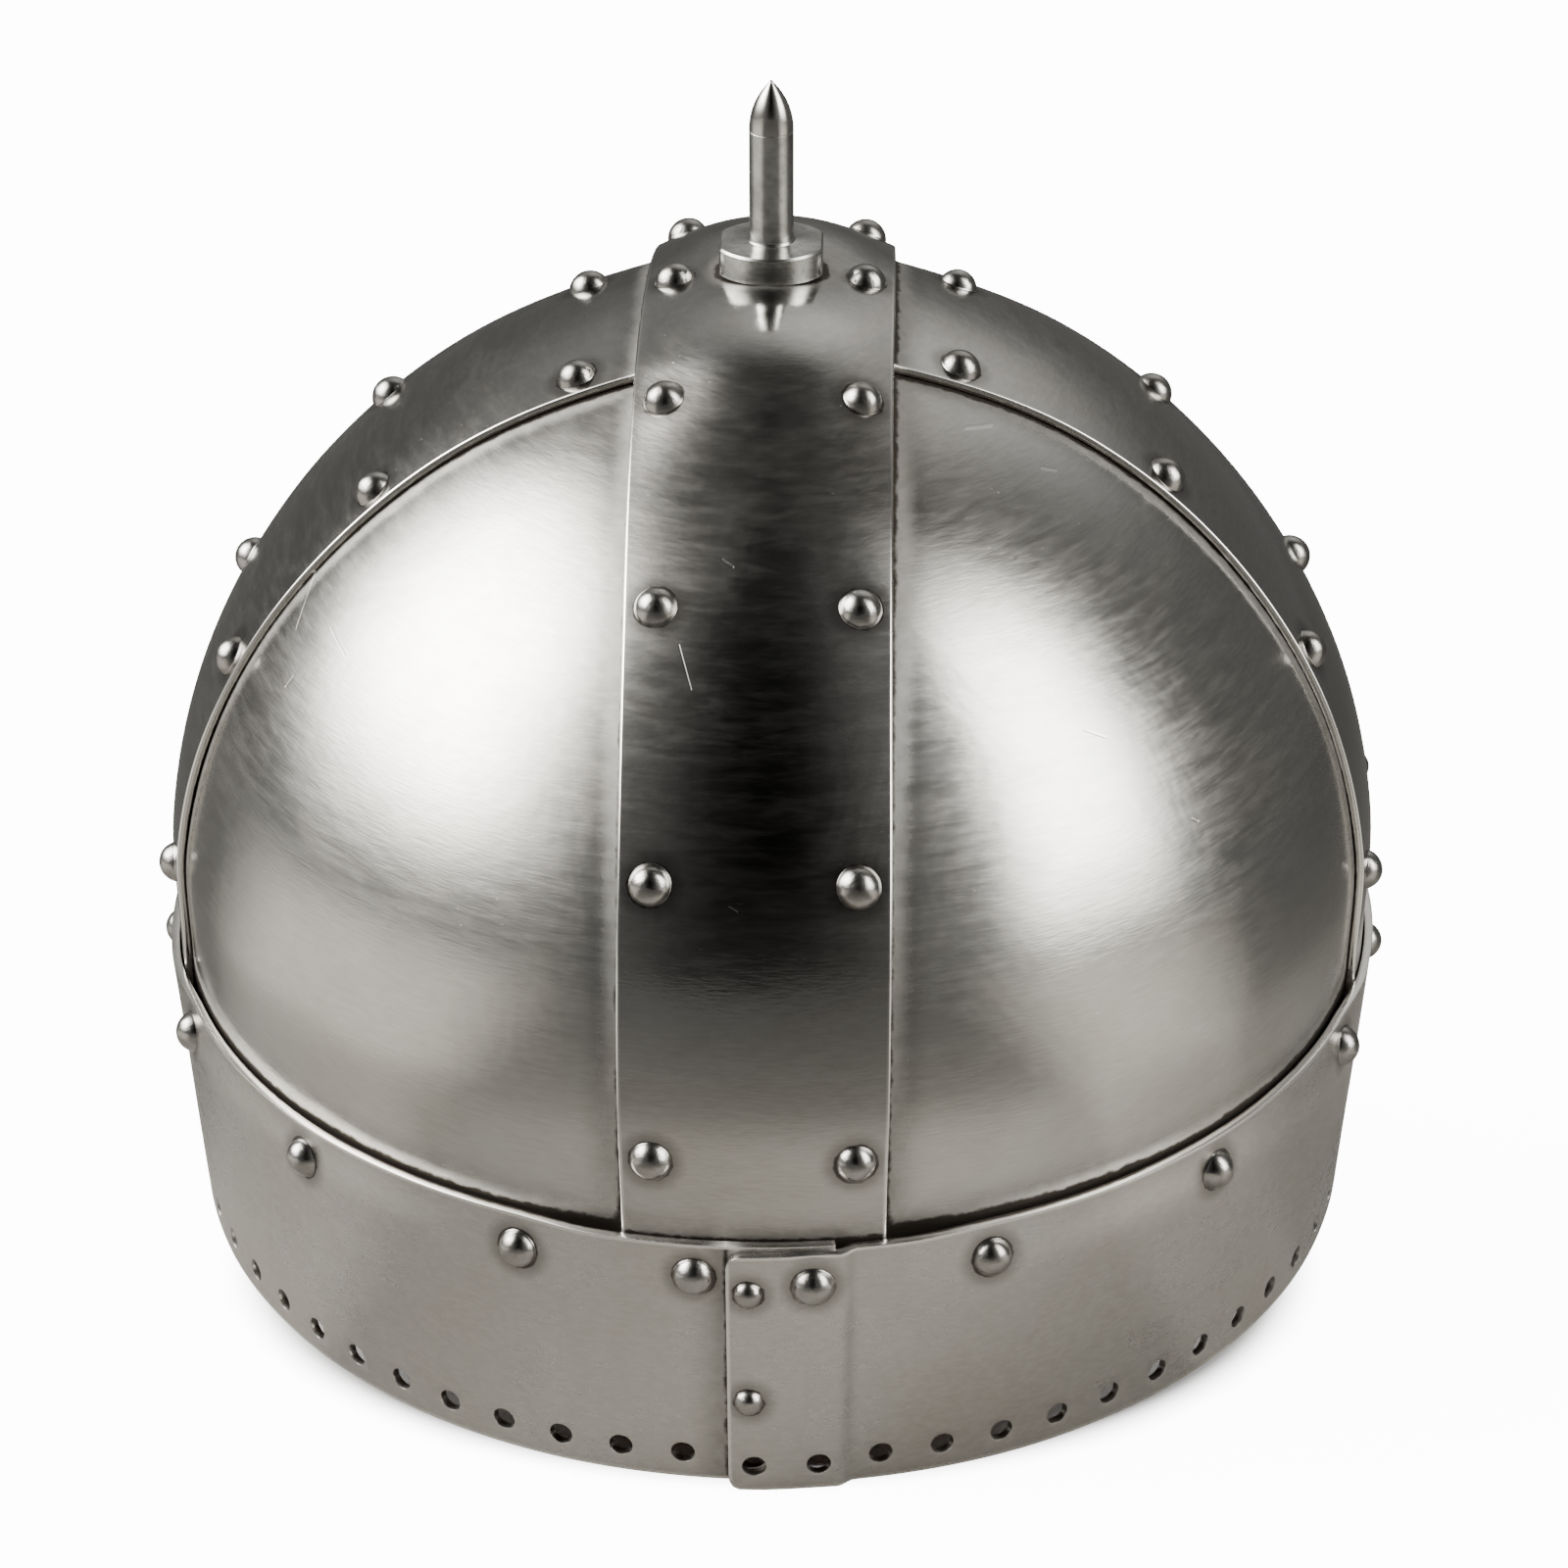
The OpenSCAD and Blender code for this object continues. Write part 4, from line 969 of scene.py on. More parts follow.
# %% Shader groups: grain, clouds, scratches and wear
def noise(tree, vector, scale, detail=3.0, rough=0.55, distortion=0.0):
    return node(tree, "ShaderNodeTexNoise", {"Vector": vector, "Scale": scale, "Detail": detail,
        "Roughness": rough, "Distortion": distortion}).outputs[0]


grain, given, result = new_group("ground_grain", "ShaderNodeTree", [("Place", "Vector", None),
    ("Stretch", "Vector", (1.0, 1.0, 1.0))], [("Lines", "Float"), ("Streaks", "Float")])
fine = vector_node(grain, "MULTIPLY", given["Place"], given["Stretch"])
grain.links.new(noise(grain, fine, 1.0, 3.0, 0.6, 0.3), result["Lines"])
broad = vector_node(grain, "MULTIPLY", fine, (0.3, 0.3, 0.3))
grain.links.new(noise(grain, broad, 1.0, 3.0, 0.6, 0.5), result["Streaks"])

clouds, given, result = new_group("cloudy_patches", "ShaderNodeTree", [("Place", "Vector", None),
    ("Size", "Float", 40.0)], [("Patches", "Float"), ("Smudges", "Float")])
scaled = vector_node(clouds, "SCALE", given["Place"], scale=divided(clouds, 1.0, given["Size"]))
large, small = noise(clouds, scaled, 1.0, 4.0, 0.6, 0.4), noise(clouds, scaled, 4.3, 4.0, 0.55, 0.4)
clouds.links.new(ramp_between(clouds, large, 0.32, 0.68), result["Patches"])
clouds.links.new(ramp_between(clouds, small, 0.38, 0.85), result["Smudges"])

scratch, given, result = new_group("thin_scratches", "ShaderNodeTree", [("Place", "Vector", None),
    ("Amount", "Float", 0.5)], [("Scratches", "Float")])
total = 0.0
for turn, long, thin in ((0.35, 0.055, 2.6), (1.3, 0.07, 3.1), (2.45, 0.05, 2.9)):
    laid = node(scratch, "ShaderNodeMapping", {"Vector": given["Place"],
        "Rotation": (turn, 0.4 * turn, turn), "Scale": (long, thin, thin)}).outputs[0]
    line = ramp_between(scratch, noise(scratch, laid, 1.0, 1.0), 0.80, 0.86)
    total = larger(scratch, total, line)
scratch.links.new(times(scratch, total, given["Amount"]), result["Scratches"])

nick, given, result = new_group("one_scratch", "ShaderNodeTree", [("Place", "Vector", None),
    ("From", "Vector", (0.0, 0.0, 0.0)), ("To", "Vector", (1.0, 0.0, 0.0)),
    ("Width", "Float", 0.15)], [("Scratch", "Float")])
xyz = node(nick, "ShaderNodeSeparateXYZ", {0: given["Place"]}).outputs
in_view = node(nick, "ShaderNodeCombineXYZ", {"X": xyz["X"], "Z": xyz["Z"]}).outputs[0]
length = vector_node(nick, "SUBTRACT", given["To"], given["From"])
aside = vector_node(nick, "SUBTRACT", in_view, given["From"])
share = divided(nick, vector_node(nick, "DOT_PRODUCT", aside, length),
    vector_node(nick, "DOT_PRODUCT", length, length), clamp=True)
aside = vector_node(nick, "SUBTRACT", aside, vector_node(nick, "SCALE", length, scale=share))
off_line = divided(nick, vector_node(nick, "LENGTH", aside), given["Width"])
rear_only = math_node(nick, "GREATER_THAN", xyz["Y"], 0.0)
line = ramp_between(nick, off_line, 0.3, 1.0, 1.0, 0.0)
nick.links.new(times(nick, line, rear_only), result["Scratch"])

wear, given, result = new_group("stains_and_wear", "ShaderNodeTree", [("Place", "Vector", None),
    ("Gap", "Float", 99.0), ("Rivet", "Float", 99.0), ("Edge", "Float", 99.0),
    ("Reach", "Float", 1.0)], [("Stain", "Float"), ("Bright", "Float"), ("Grime", "Float")])
ragged = noise(wear, given["Place"], 0.35, 4.0, 0.6)
soft = times(wear, less(wear, ragged, 0.5), 1.6)
gap = divided(wear, added(wear, given["Gap"], soft), given["Reach"])
near = ramp_between(wear, gap, 0.0, 1.1, 0.96, 0.0)
halo = times(wear, ramp_between(wear, gap, 0.0, 7.5, 0.42, 0.0),
    ramp_between(wear, ragged, 0.3, 0.7, 0.6, 1.0))
round_head = added(wear, given["Rivet"], times(wear, soft, 0.35))
near_rivet = ramp_between(wear, round_head, 0.1, 0.75, 0.9, 0.0)
halo_rivet = ramp_between(wear, round_head, 0.2, 3.2, 0.45, 0.0)
stain = larger(wear, larger(wear, near, halo), larger(wear, near_rivet, halo_rivet))
wear.links.new(stain, result["Stain"])
dulled = ramp_between(wear, divided(wear, given["Gap"], given["Reach"]), 0.0, 4.5, 0.7, 0.0)
wear.links.new(larger(wear, near, dulled), result["Grime"])
rim = added(wear, given["Edge"], times(wear, soft, 0.12))
wear.links.new(ramp_between(wear, rim, 0.25, 0.85, 1.0, 0.0), result["Bright"])
print("groups:", [g.name for g in bpy.data.node_groups])

# %% [markdown]
# One function builds a steel from these groups. Bowl plates, strips, brow band, guard and rivets
# differ in tone, in how dull they are and in the direction of their grain, so each gets its own.
# Most scratches fall by chance, but the few deeper ones on the rear have their own places.

# %% Steel finishes
STAIN_BROWN, WORN_BRIGHT, CUT_BRIGHT = (0.036, 0.028, 0.022), (0.86, 0.84, 0.80), (0.9, 0.88, 0.84)
FINE_DEPTH = 0.00012            # depth of the finest grain, in metres


def upright_place(tree):
    # Object coordinates turned back into the upright helmet's frame, in millimetres
    back = Matrix(((1, 0, 0), (0, LEAN_COS, -LEAN_SIN), (0, LEAN_SIN, LEAN_COS)))
    shift = back @ Vector((0, -SHIFT_Y, -SHIFT_Z))
    place = node(tree, "ShaderNodeTexCoord").outputs["Object"]
    return node(tree, "ShaderNodeMapping", {"Vector": place, "Location": shift,
        "Rotation": (lean, 0, 0), "Scale": (1000, 1000, 1000)}).outputs[0]


def attribute(tree, title):
    return node(tree, "ShaderNodeAttribute", attribute_name=title).outputs["Fac"]


def toned(share, tone):
    return tuple(share * c for c in tone)


def finished_with(tree, shader, color, dull, bump):
    for socket, value in (("Base Color", color), ("Roughness", dull), ("Normal", bump)):
        tree.links.new(value, shader[socket])


def steel(name, clean, warm, rough, stretch, stains=1.0, scratches=0.5, marked=True, patch=38.0,
        streak=0.035, dents=0.00005, smudged=0.14, nicks=()):
    made, tree, shader = new_material(name)
    place = upright_place(tree)
    patches = group_node(tree, clouds, {"Place": place, "Size": patch})
    lines = group_node(tree, grain, {"Place": place, "Stretch": stretch})
    cuts = group_node(tree, scratch, {"Place": place, "Amount": scratches})["Scratches"]
    color = mixed(tree, patches["Patches"], clean, warm)
    smudges = ramp_between(tree, patches["Smudges"], 0, 1, 0, smudged)
    color = mixed(tree, smudges, color, toned(0.62, warm))
    shine = ramp_between(tree, lines["Lines"], 0.35, 0.7, 0.0, 0.28)
    color = mixed(tree, shine, color, toned(1.25, clean))
    dull = ramp_between(tree, patches["Patches"], 0, 1, rough - 0.02, rough + 0.035)
    dull = added(tree, dull, ramp_between(tree, lines["Streaks"], 0.3, 0.7, -streak, streak))
    if marked:
        marks = group_node(tree, wear, {"Place": place, "Gap": attribute(tree, "gap_mm"),
            "Rivet": attribute(tree, "rivet_mm"), "Edge": attribute(tree, "edge_mm"),
            "Reach": stains})
        color = mixed(tree, marks["Stain"], color, STAIN_BROWN)
        color = mixed(tree, marks["Bright"], color, WORN_BRIGHT)
        dull = added(tree, dull, times(tree, marks["Grime"], 0.45))
        dull = less(tree, dull, times(tree, marks["Bright"], 0.08), clamp=True)
    for start, end, wide in nicks:
        line = group_node(tree, nick, {"Place": place, "From": (start[0], 0, start[1]),
            "To": (end[0], 0, end[1]), "Width": wide})["Scratch"]
        cuts = larger(tree, cuts, line)
    color = mixed(tree, times(tree, cuts, 0.6), color, CUT_BRIGHT)
    broad = node(tree, "ShaderNodeBump", {"Height": patches["Patches"], "Strength": 1.0,
        "Distance": dents}).outputs[0]
    high = added(tree, times(tree, lines["Lines"], 0.5), times(tree, cuts, -0.6))
    bump = node(tree, "ShaderNodeBump", {"Height": high, "Strength": 0.3, "Distance": FINE_DEPTH,
        "Normal": broad}).outputs[0]
    shader["Metallic"].default_value = 1.0
    finished_with(tree, shader, color, dull, bump)
    return made


# single scratches: from and to, across and up in the helmet's own millimetres, and the width
BOWL_NICKS = [((-33.1, 154.8), (-37.6, 154.0), 0.2), ((-45.8, 148.7), (-48.4, 147.7), 0.16),
    ((-52.7, 119.9), (-56.1, 118.1), 0.16), ((76.5, 127.2), (79.5, 119.3), 0.14),
    ((72.6, 123.1), (69.6, 121.7), 0.18), ((80.6, 112.6), (79.2, 114.5), 0.18),
    ((-70.6, 102.7), (-71.8, 101.8), 0.18)]
STRIP_NICKS = [((6.2, 146.8), (4.4, 146.1), 0.25), ((12.7, 137.0), (10.6, 132.0), 0.16),
    ((3.9, 104.1), (2.7, 103.5), 0.22)]
finishes = {
    "bowl": steel("satin_bowl_steel", (0.58, 0.575, 0.555), (0.54, 0.52, 0.48), 0.18,
        (0.28, 0.28, 2.4), nicks=BOWL_NICKS),
    "strip": steel("satin_strip_steel", (0.52, 0.515, 0.50), (0.48, 0.46, 0.43), 0.15,
        (0.35, 0.35, 2.2), stains=0.9, scratches=0.55, nicks=STRIP_NICKS),
    "band": steel("dull_band_steel", (0.56, 0.55, 0.53), (0.51, 0.485, 0.455), 0.30,
        (0.5, 0.5, 1.4), scratches=0.06, dents=0.00001, smudged=0.08),
    "guard": steel("guard_steel", (0.55, 0.54, 0.52), (0.49, 0.47, 0.44), 0.33,
        (0.4, 0.4, 1.8), scratches=0.1),
    "rivet": steel("polished_rivet_steel", (0.42, 0.41, 0.395), (0.34, 0.325, 0.305), 0.19,
        (1.2, 1.2, 1.2), scratches=0.2, marked=False, patch=5.0, streak=0.03),
}
finish_of = {"plate": "bowl", "crest": "strip", "side": "strip", "brow": "band",
    "spectacle": "guard"}
for piece_name, piece in pieces.items():
    piece.data.materials.clear()
    piece.data.materials.append(finishes[finish_of[piece_name.split("_")[0]]])
print("steels:", list(finishes))

# %% [markdown]
# With the steel ready, the rivets are set. A rivet of a strip grips strip and plate. A rivet of the
# band also goes through the leather and a washer, so it is longer.

# %% Set all rivets
def grip_to_plate(places):
    # distance inwards to the inner side of the bowl plates
    q = (places - [0, 0, LEVEL])
    size = np.linalg.norm(q / [HALF_W, HALF_L, RISE], axis=1)
    lift = (size - 1) * np.linalg.norm(q, axis=1) / size
    return np.clip(lift, 1.4, 5.2) + PLATE_T + 0.1


BAND_GRIP = 8.2                 # through band, plate, leather and washer
SMALL_RIVET = {"Head diameter": 0.002 * SEAM_HEAD_R, "Head height": 0.0019,
    "Shank diameter": 0.0028, "Tail diameter": 0.003}
for row_name, (places, outward) in rows.items():
    values = {"Seed": len(row_name) + len(places), "Steel": finishes["rivet"]}
    if row_name == "rivets_brow_band":
        grips = np.full(len(places), BAND_GRIP)
        grips[LAP_RIVET] += LAP_G - BAND_T
    elif row_name == "rivets_guard":
        grips = np.full(len(places), GUARD_IN + GUARD_T)
    elif row_name == "rivets_band_seam":
        grips = np.full(len(places), LAP_G)
        values.update(SMALL_RIVET)
    else:
        grips = grip_to_plate(places)
    pieces[row_name] = grown(row_name, set_rivets, places, [],
        {"outward": turned(outward), "grip": grips / 1000}, values)
print("rivets set:", sum(len(places) for places, _ in rows.values()))

# %% [markdown]
# The spike is turned from a bar: a flange with two flats for a spanner, a straight rod and a
# polished point, with a threaded shank below. A profile is revolved round the axis, and the flats
# are pressed into the flange by limiting its width.

# %% Spike
SEAT_Z, FLANGE_T, FLAT_HALF, FLANGE_CHAMFER = 170.4, 5.0, 8.8, 0.35
ROD_R, ROD_H, TIP_H, POINT_R = 3.8, 28.5, 8.6, 0.12
SHANK_R, ROOT_R, SHANK_L, THREAD_TURNS = 3.0, 2.65, 15.0, 14
ROUND_STEPS = 96


def revolved(name, profile, flats):
    points, faces = [], []
    for r, z in profile:
        for k in range(ROUND_STEPS):
            a = 2 * math.pi * k / ROUND_STEPS
            x = max(-flats(z), min(flats(z), r * math.cos(a)))
            points.append((x, r * math.sin(a), z))
    for i in range(len(profile) - 1):
        low, high = i * ROUND_STEPS, (i + 1) * ROUND_STEPS
        for k in range(ROUND_STEPS):
            n = (k + 1) % ROUND_STEPS
            faces.append((low + k, low + n, high + n, high + k))
    faces.append(tuple(range(ROUND_STEPS))[::-1])
    faces.append(tuple((len(profile) - 1) * ROUND_STEPS + k for k in range(ROUND_STEPS)))
    obj = mesh_object(name, points, faces)
    shaded(obj.data, 32)
    return obj


def flat_width(z):
    chamfered = z < SEAT_Z + 0.1 or z > SEAT_Z + FLANGE_T - 0.1
    return FLAT_HALF - (0.3 if chamfered else 0.0)


profile = [(2.0, -SHANK_L), (2.6, 0.4 - SHANK_L)]
for k in range(THREAD_TURNS):
    z = k + 1 - SHANK_L
    profile += [(ROOT_R, z - 0.3), (SHANK_R, z), (SHANK_R, z + 0.25), (ROOT_R, z + 0.55)]
profile += [(SHANK_R, -0.3), (SHANK_R, 0.0), (FLANGE_R - FLANGE_CHAMFER, 0.0)]
profile += [(FLANGE_R, FLANGE_CHAMFER), (FLANGE_R, FLANGE_T - FLANGE_CHAMFER)]
profile += [(FLANGE_R - FLANGE_CHAMFER, FLANGE_T)]
# a small fillet at the rod's foot, the rod, and a fine groove below the point
profile += [(ROD_R + 0.7, FLANGE_T), (ROD_R + 0.3, FLANGE_T + 0.15), (ROD_R + 0.05, FLANGE_T + 0.5)]
point_foot = FLANGE_T + ROD_H - TIP_H
profile += [(ROD_R, FLANGE_T + 0.8), (ROD_R, 14.0), (ROD_R, point_foot - 0.3)]
profile += [(ROD_R - 0.14, point_foot - 0.18), (ROD_R - 0.14, point_foot - 0.06), (ROD_R, point_foot)]
ogive = (TIP_H ** 2 + ROD_R ** 2) / (2 * ROD_R)
for h in np.linspace(0.6, TIP_H - 0.25, 16):
    profile.append((math.sqrt(ogive ** 2 - h * h) - ogive + ROD_R, point_foot + h))
profile += [(0.3, FLANGE_T + ROD_H - 0.1), (POINT_R, FLANGE_T + ROD_H)]
pieces["spike"] = revolved("spike", [(r, SEAT_Z + z) for r, z in profile], flat_width)
print("spike rings", len(profile))

# %% [markdown]
# The spike is zinc plated, cloudy from handling, with faint rings from the lathe. Its point was
# polished after the plating and is brighter. The washers and the nut keep their CAD shape, because
# they are plain turned and stamped parts, and only get a finish.

# %% Zinc and washer steel
zinc, tree, shader = new_material("turned_zinc")
place = upright_place(tree)
rings = noise(tree, vector_node(tree, "MULTIPLY", place, (0.05, 0.05, 3.2)), 1.0, 2.0)
patches = group_node(tree, clouds, {"Place": place, "Size": 4.0})
height = node(tree, "ShaderNodeSeparateXYZ", {0: place}).outputs["Z"]
point_z = SEAT_Z + point_foot
bright_tip = ramp_between(tree, height, point_z - 0.15, point_z + 0.05)
smudges = ramp_between(tree, patches["Smudges"], 0.2, 1.0, 0.0, 0.5)
color = mixed(tree, patches["Patches"], (0.58, 0.58, 0.565), (0.38, 0.38, 0.36))
color = mixed(tree, smudges, color, (0.2, 0.195, 0.185))
color = mixed(tree, bright_tip, color, (0.62, 0.60, 0.57))
dull = added(tree, ramp_between(tree, bright_tip, 0, 1, 0.23, 0.13),
    ramp_between(tree, rings, 0.3, 0.7, -0.02, 0.03))
bump = node(tree, "ShaderNodeBump", {"Height": rings, "Strength": 0.06, "Distance": FINE_DEPTH})
shader["Metallic"].default_value = 1.0
finished_with(tree, shader, color, dull, bump.outputs[0])
pieces["spike"].data.materials.append(zinc)
washer_steel = steel("washer_steel", (0.60, 0.60, 0.59), (0.50, 0.49, 0.47), 0.36, (1.0, 1.0, 1.0),
    scratches=0.3, marked=False, patch=6.0)
for cad_name in ("spike_washer", "spike_nut", "liner_washers"):
    cad = frame["nodes"][cad_name]
    cad.data.materials.clear()
    cad.data.materials.append(zinc if cad_name == "spike_nut" else washer_steel)
print("plain CAD pieces with a finish: washers and nut")

# %% [markdown]
# The liner is leather: a band riveted inside the brow band, and eight tongues sewn to it that meet
# under the crown. Leather is softer than steel in every way. Its faces aren't quite flat, its cut
# edges are round and darker, and its grain is a net of tiny creases.

# %% Leather finish
leather_net, given, result = new_group("leather_grain", "ShaderNodeTree", [("Place", "Vector", None),
    ("Crease", "Float", 1.3)], [("Height", "Float"), ("Pores", "Float")])
cells = node(leather_net, "ShaderNodeTexVoronoi", {"Vector": given["Place"],
    "Scale": divided(leather_net, 1.0, given["Crease"])}, feature="DISTANCE_TO_EDGE")
off_crease = cells.outputs["Distance"]
swell = times(leather_net, noise(leather_net, given["Place"], 0.12, 4.0), 1.2)
leather_net.links.new(added(leather_net, ramp_between(leather_net, off_crease, 0.0, 0.22), swell),
    result["Height"])
leather_net.links.new(ramp_between(leather_net, off_crease, 0.02, 0.16, 1.0, 0.0), result["Pores"])


def leather(name, tone, worn, rough, crease):
    made, tree, shader = new_material(name)
    place = upright_place(tree)
    net = group_node(tree, leather_net, {"Place": place, "Crease": crease})
    patches = group_node(tree, clouds, {"Place": place, "Size": 26.0})
    color = mixed(tree, patches["Patches"], tone, worn)
    color = mixed(tree, times(tree, net["Pores"], 0.45), color, toned(0.45, tone))
    rim = ramp_between(tree, attribute(tree, "edge_mm"), 0.3, 1.8, 0.7, 0.0)
    color = mixed(tree, rim, color, toned(0.4, tone))
    dull = added(tree, ramp_between(tree, patches["Smudges"], 0, 1, rough, rough - 0.12),
        times(tree, net["Pores"], 0.1))
    bump = node(tree, "ShaderNodeBump", {"Height": net["Height"], "Strength": 0.5,
        "Distance": 0.0003}).outputs[0]
    finished_with(tree, shader, color, dull, bump)
    return made


hide = leather("oiled_leather", (0.23, 0.115, 0.052), (0.31, 0.165, 0.08), 0.58, 1.4)
lace_hide = leather("lace_leather", (0.10, 0.05, 0.028), (0.15, 0.08, 0.045), 0.5, 0.8)
thread, tree, shader = new_material("waxed_thread")
strands = noise(tree, vector_node(tree, "MULTIPLY", upright_place(tree), (2.5, 2.5, 2.5)), 1.0, 2.0)
bump = node(tree, "ShaderNodeBump", {"Height": strands, "Strength": 0.4, "Distance": 0.0002})
finished_with(tree, shader, mixed(tree, strands, (0.50, 0.40, 0.26), (0.66, 0.56, 0.40)),
    ramp_between(tree, strands, 0.3, 0.7, 0.55, 0.75), bump.outputs[0])
print("leathers:", hide.name, lace_hide.name, "thread:", thread.name)

# %% [markdown]
# The liner band is a closed ring that follows the steel band's taper. It gets a slow wave, because
# the rivets hold it only at their places.

# %% Liner band
LINER_OUT, LEATHER_T = -3.775, 2.0
LINER_IN = LINER_OUT - LEATHER_T
LINER_LOW, LINER_HIGH = 10.0, 47.0
WALL_GAP = 0.3                  # the leather's face stays this far inside its place
STEPS_ROUND = 240


def leather_piece(name, points, faces, edge_mm, centre, thick, bevel):
    # the grid is the side towards the head, so the wall grows outwards
    obj = mesh_object(name, points, faces, {"edge_mm": edge_mm})
    outward_faces(obj, centre)
    obj.data.flip_normals()
    thickened(obj, thick, bevel, 3)
    shaded(plain(obj), 60)
    obj.data.materials.append(hide)
    return obj


levels_in = spaced(LINER_LOW, LINER_HIGH, 3.2, 0.7)
turns = np.linspace(0, 360, STEPS_ROUND + 1)[:-1]
u, v = np.meshgrid(turns, levels_in, indexing="ij")
a, b = band_axes(LINER_IN, v)
turn = np.radians(u)
wave = 0.16 * np.sin(turn * 18) * ease(44, 20, v) + 0.12 * np.sin(turn * 7 + 1) - WALL_GAP
points = np.stack([(a + wave) * np.cos(turn), (b + wave) * np.sin(turn), v], -1).reshape(-1, 3)
count = len(levels_in)
faces = []
for i in range(STEPS_ROUND):
    here, following = i * count, (i + 1) % STEPS_ROUND * count
    faces += [(here + j, here + j + 1, following + j + 1, following + j) for j in range(count - 1)]
pieces["liner_band"] = leather_piece("liner_band", points, faces,
    np.minimum(v - LINER_LOW, LINER_HIGH - v).ravel(), (0, 0, 40), LEATHER_T, 0.6)
print("liner band faces", len(pieces["liner_band"].data.polygons))

# %% [markdown]
# A tongue starts as a wide foot, sewn against the band, and narrows towards a blunt tip with a slot
# for the lace. It is a grid again, from the tip down to the foot, with the slot left out and its
# corners drawn in. A slight bow across each tongue shows that it is leather and not plate.

# %% Eight tongues
TONGUE_N, TONGUE_A, TONGUE_B, TONGUE_RISE = 8, 100.53, 110.94, 104.0
SEW_Z, TONGUE_LOW, TONGUE_CLEAR, TIP_R, TIP_HALF = 38.0, 33.0, 2.0, 21.0, 7.0
LACE_R, SLOT_SHARE = 27.0, 0.53         # the slot's half width is a share of the tongue's
rim_r = TONGUE_A * 1.2
rim_half = rim_r * math.tan(math.pi / TONGUE_N) - TONGUE_CLEAR / math.cos(math.pi / TONGUE_N)
slope = (rim_half - TIP_HALF) / (rim_r - TIP_R)
start = TIP_HALF - TIP_R * slope


def half_turn_of(reach):
    # angle from a tongue's middle line to its straight side, at a distance from the axis
    x = -slope * start + np.sqrt(reach ** 2 * (1 + slope ** 2) - start ** 2)
    x = x / (1 + slope ** 2)
    return np.arctan2(slope * x + start, x)


def tongue_middle(number):
    return math.radians((number - 0.5) * 360 / TONGUE_N)


down_low = math.degrees(math.acos((TONGUE_LOW - SEW_Z) / TONGUE_RISE))
near_slot = np.array([21.4, 21.9, 23.4, 25.2, LACE_R, 28.8, 30.6])
downs = np.concatenate([np.degrees(np.arcsin(near_slot / TONGUE_A)),
    np.linspace(19.4, down_low - 0.5, 44), [down_low]])
half_shares = np.array([0.18, 0.36, SLOT_SHARE, 0.7, 0.85, 0.97, 1])
shares = np.concatenate([-half_shares[::-1], [0], half_shares])
u, v = np.meshgrid(np.radians(downs), shares, indexing="ij")
down = np.degrees(u)
straight_reach = TONGUE_A * np.sin(u)
straight_turn = v * half_turn_of(straight_reach)
# the slot's four corners are drawn in
from_lace = straight_reach - LACE_R
corner = (np.abs(from_lace) > 1.2) & (np.abs(from_lace) < 2.2)
corner &= np.abs(np.abs(v) - SLOT_SHARE) < 0.01
reach = np.where(corner, LACE_R + from_lace * 0.62, straight_reach)
turn = np.where(corner, straight_turn * 0.93, straight_turn)
width = (1 - np.abs(v)) * half_turn_of(reach) * reach
edge_mm = np.minimum(width, np.minimum(TONGUE_A * (u - u.min()), TONGUE_A * (u.max() - u))).ravel()
faces = grid_faces(len(downs), len(shares), lambda i, j: not (3 <= i < 5 and 4 <= j < 10))
for number in range(1, TONGUE_N + 1):
    bow = (0.55 * (1 - v * v) - 0.3) * ease(20, 50, down) * (1 - ease(78, 90, down))
    wave = 0.35 * np.sin(down * 0.09 + number * 2.1) * ease(20, 40, down) * (1 - ease(74, 88, down))
    inset = LEATHER_T + bow + wave
    along_x = reach * (1 - inset / TONGUE_A)
    along_y = along_x * TONGUE_B / TONGUE_A
    across = turn + tongue_middle(number)
    tall = np.cos(u) * (TONGUE_RISE - inset) + SEW_Z
    points = np.stack([along_x * np.cos(across), along_y * np.sin(across), tall], -1).reshape(-1, 3)
    name = "liner_tongue_%d" % number
    pieces[name] = leather_piece(name, points, faces, edge_mm, (0, 0, 30), LEATHER_T - 0.15, 0.5)
print("tongue faces", len(pieces[name].data.polygons))

# %% [markdown]
# The tongues' feet are sewn to the band with two rows of stitches. Geometry Nodes walk along a line
# and lay a short thread at every step. The lines run on the inner side of the feet.

# %% Geometry Nodes: stitches
sew, given, result = new_group("lay_stitches", "GeometryNodeTree", [("Line", "Geometry", None),
    ("Pitch", "Float", 0.0042), ("Stitch length", "Float", 0.0032), ("Thread", "Float", 0.0009),
    ("Seed", "Int", 4), ("Finish", "Material", None)], [("Stitches", "Geometry")])
t = sew
curve = node(t, "GeometryNodeMeshToCurve", {0: given["Line"]}).outputs[0]
steps = node(t, "GeometryNodeCurveToPoints", {"Curve": curve, "Length": given["Pitch"]},
    mode="LENGTH").outputs
way = node(t, "FunctionNodeAlignRotationToVector", {"Vector": steps["Tangent"]}, axis="X").outputs[0]
bead = node(t, "GeometryNodeMeshUVSphere", {"Segments": 10, "Rings": 7, "Radius": 0.5}).outputs[0]
size = node(t, "ShaderNodeCombineXYZ", {"X": given["Stitch length"], "Y": given["Thread"],
    "Z": given["Thread"]}).outputs[0]
loop = node(t, "GeometryNodeTransform", {"Geometry": bead, "Scale": size}).outputs[0]
laid = node(t, "GeometryNodeInstanceOnPoints", {"Points": steps["Points"], "Instance": loop,
    "Rotation": way, "Scale": random_between(t, "FLOAT", 0.88, 1.08, given["Seed"])}).outputs[0]
real = node(t, "GeometryNodeRealizeInstances", {0: laid}).outputs[0]
smooth = node(t, "GeometryNodeSetShadeSmooth", {0: real}).outputs[0]
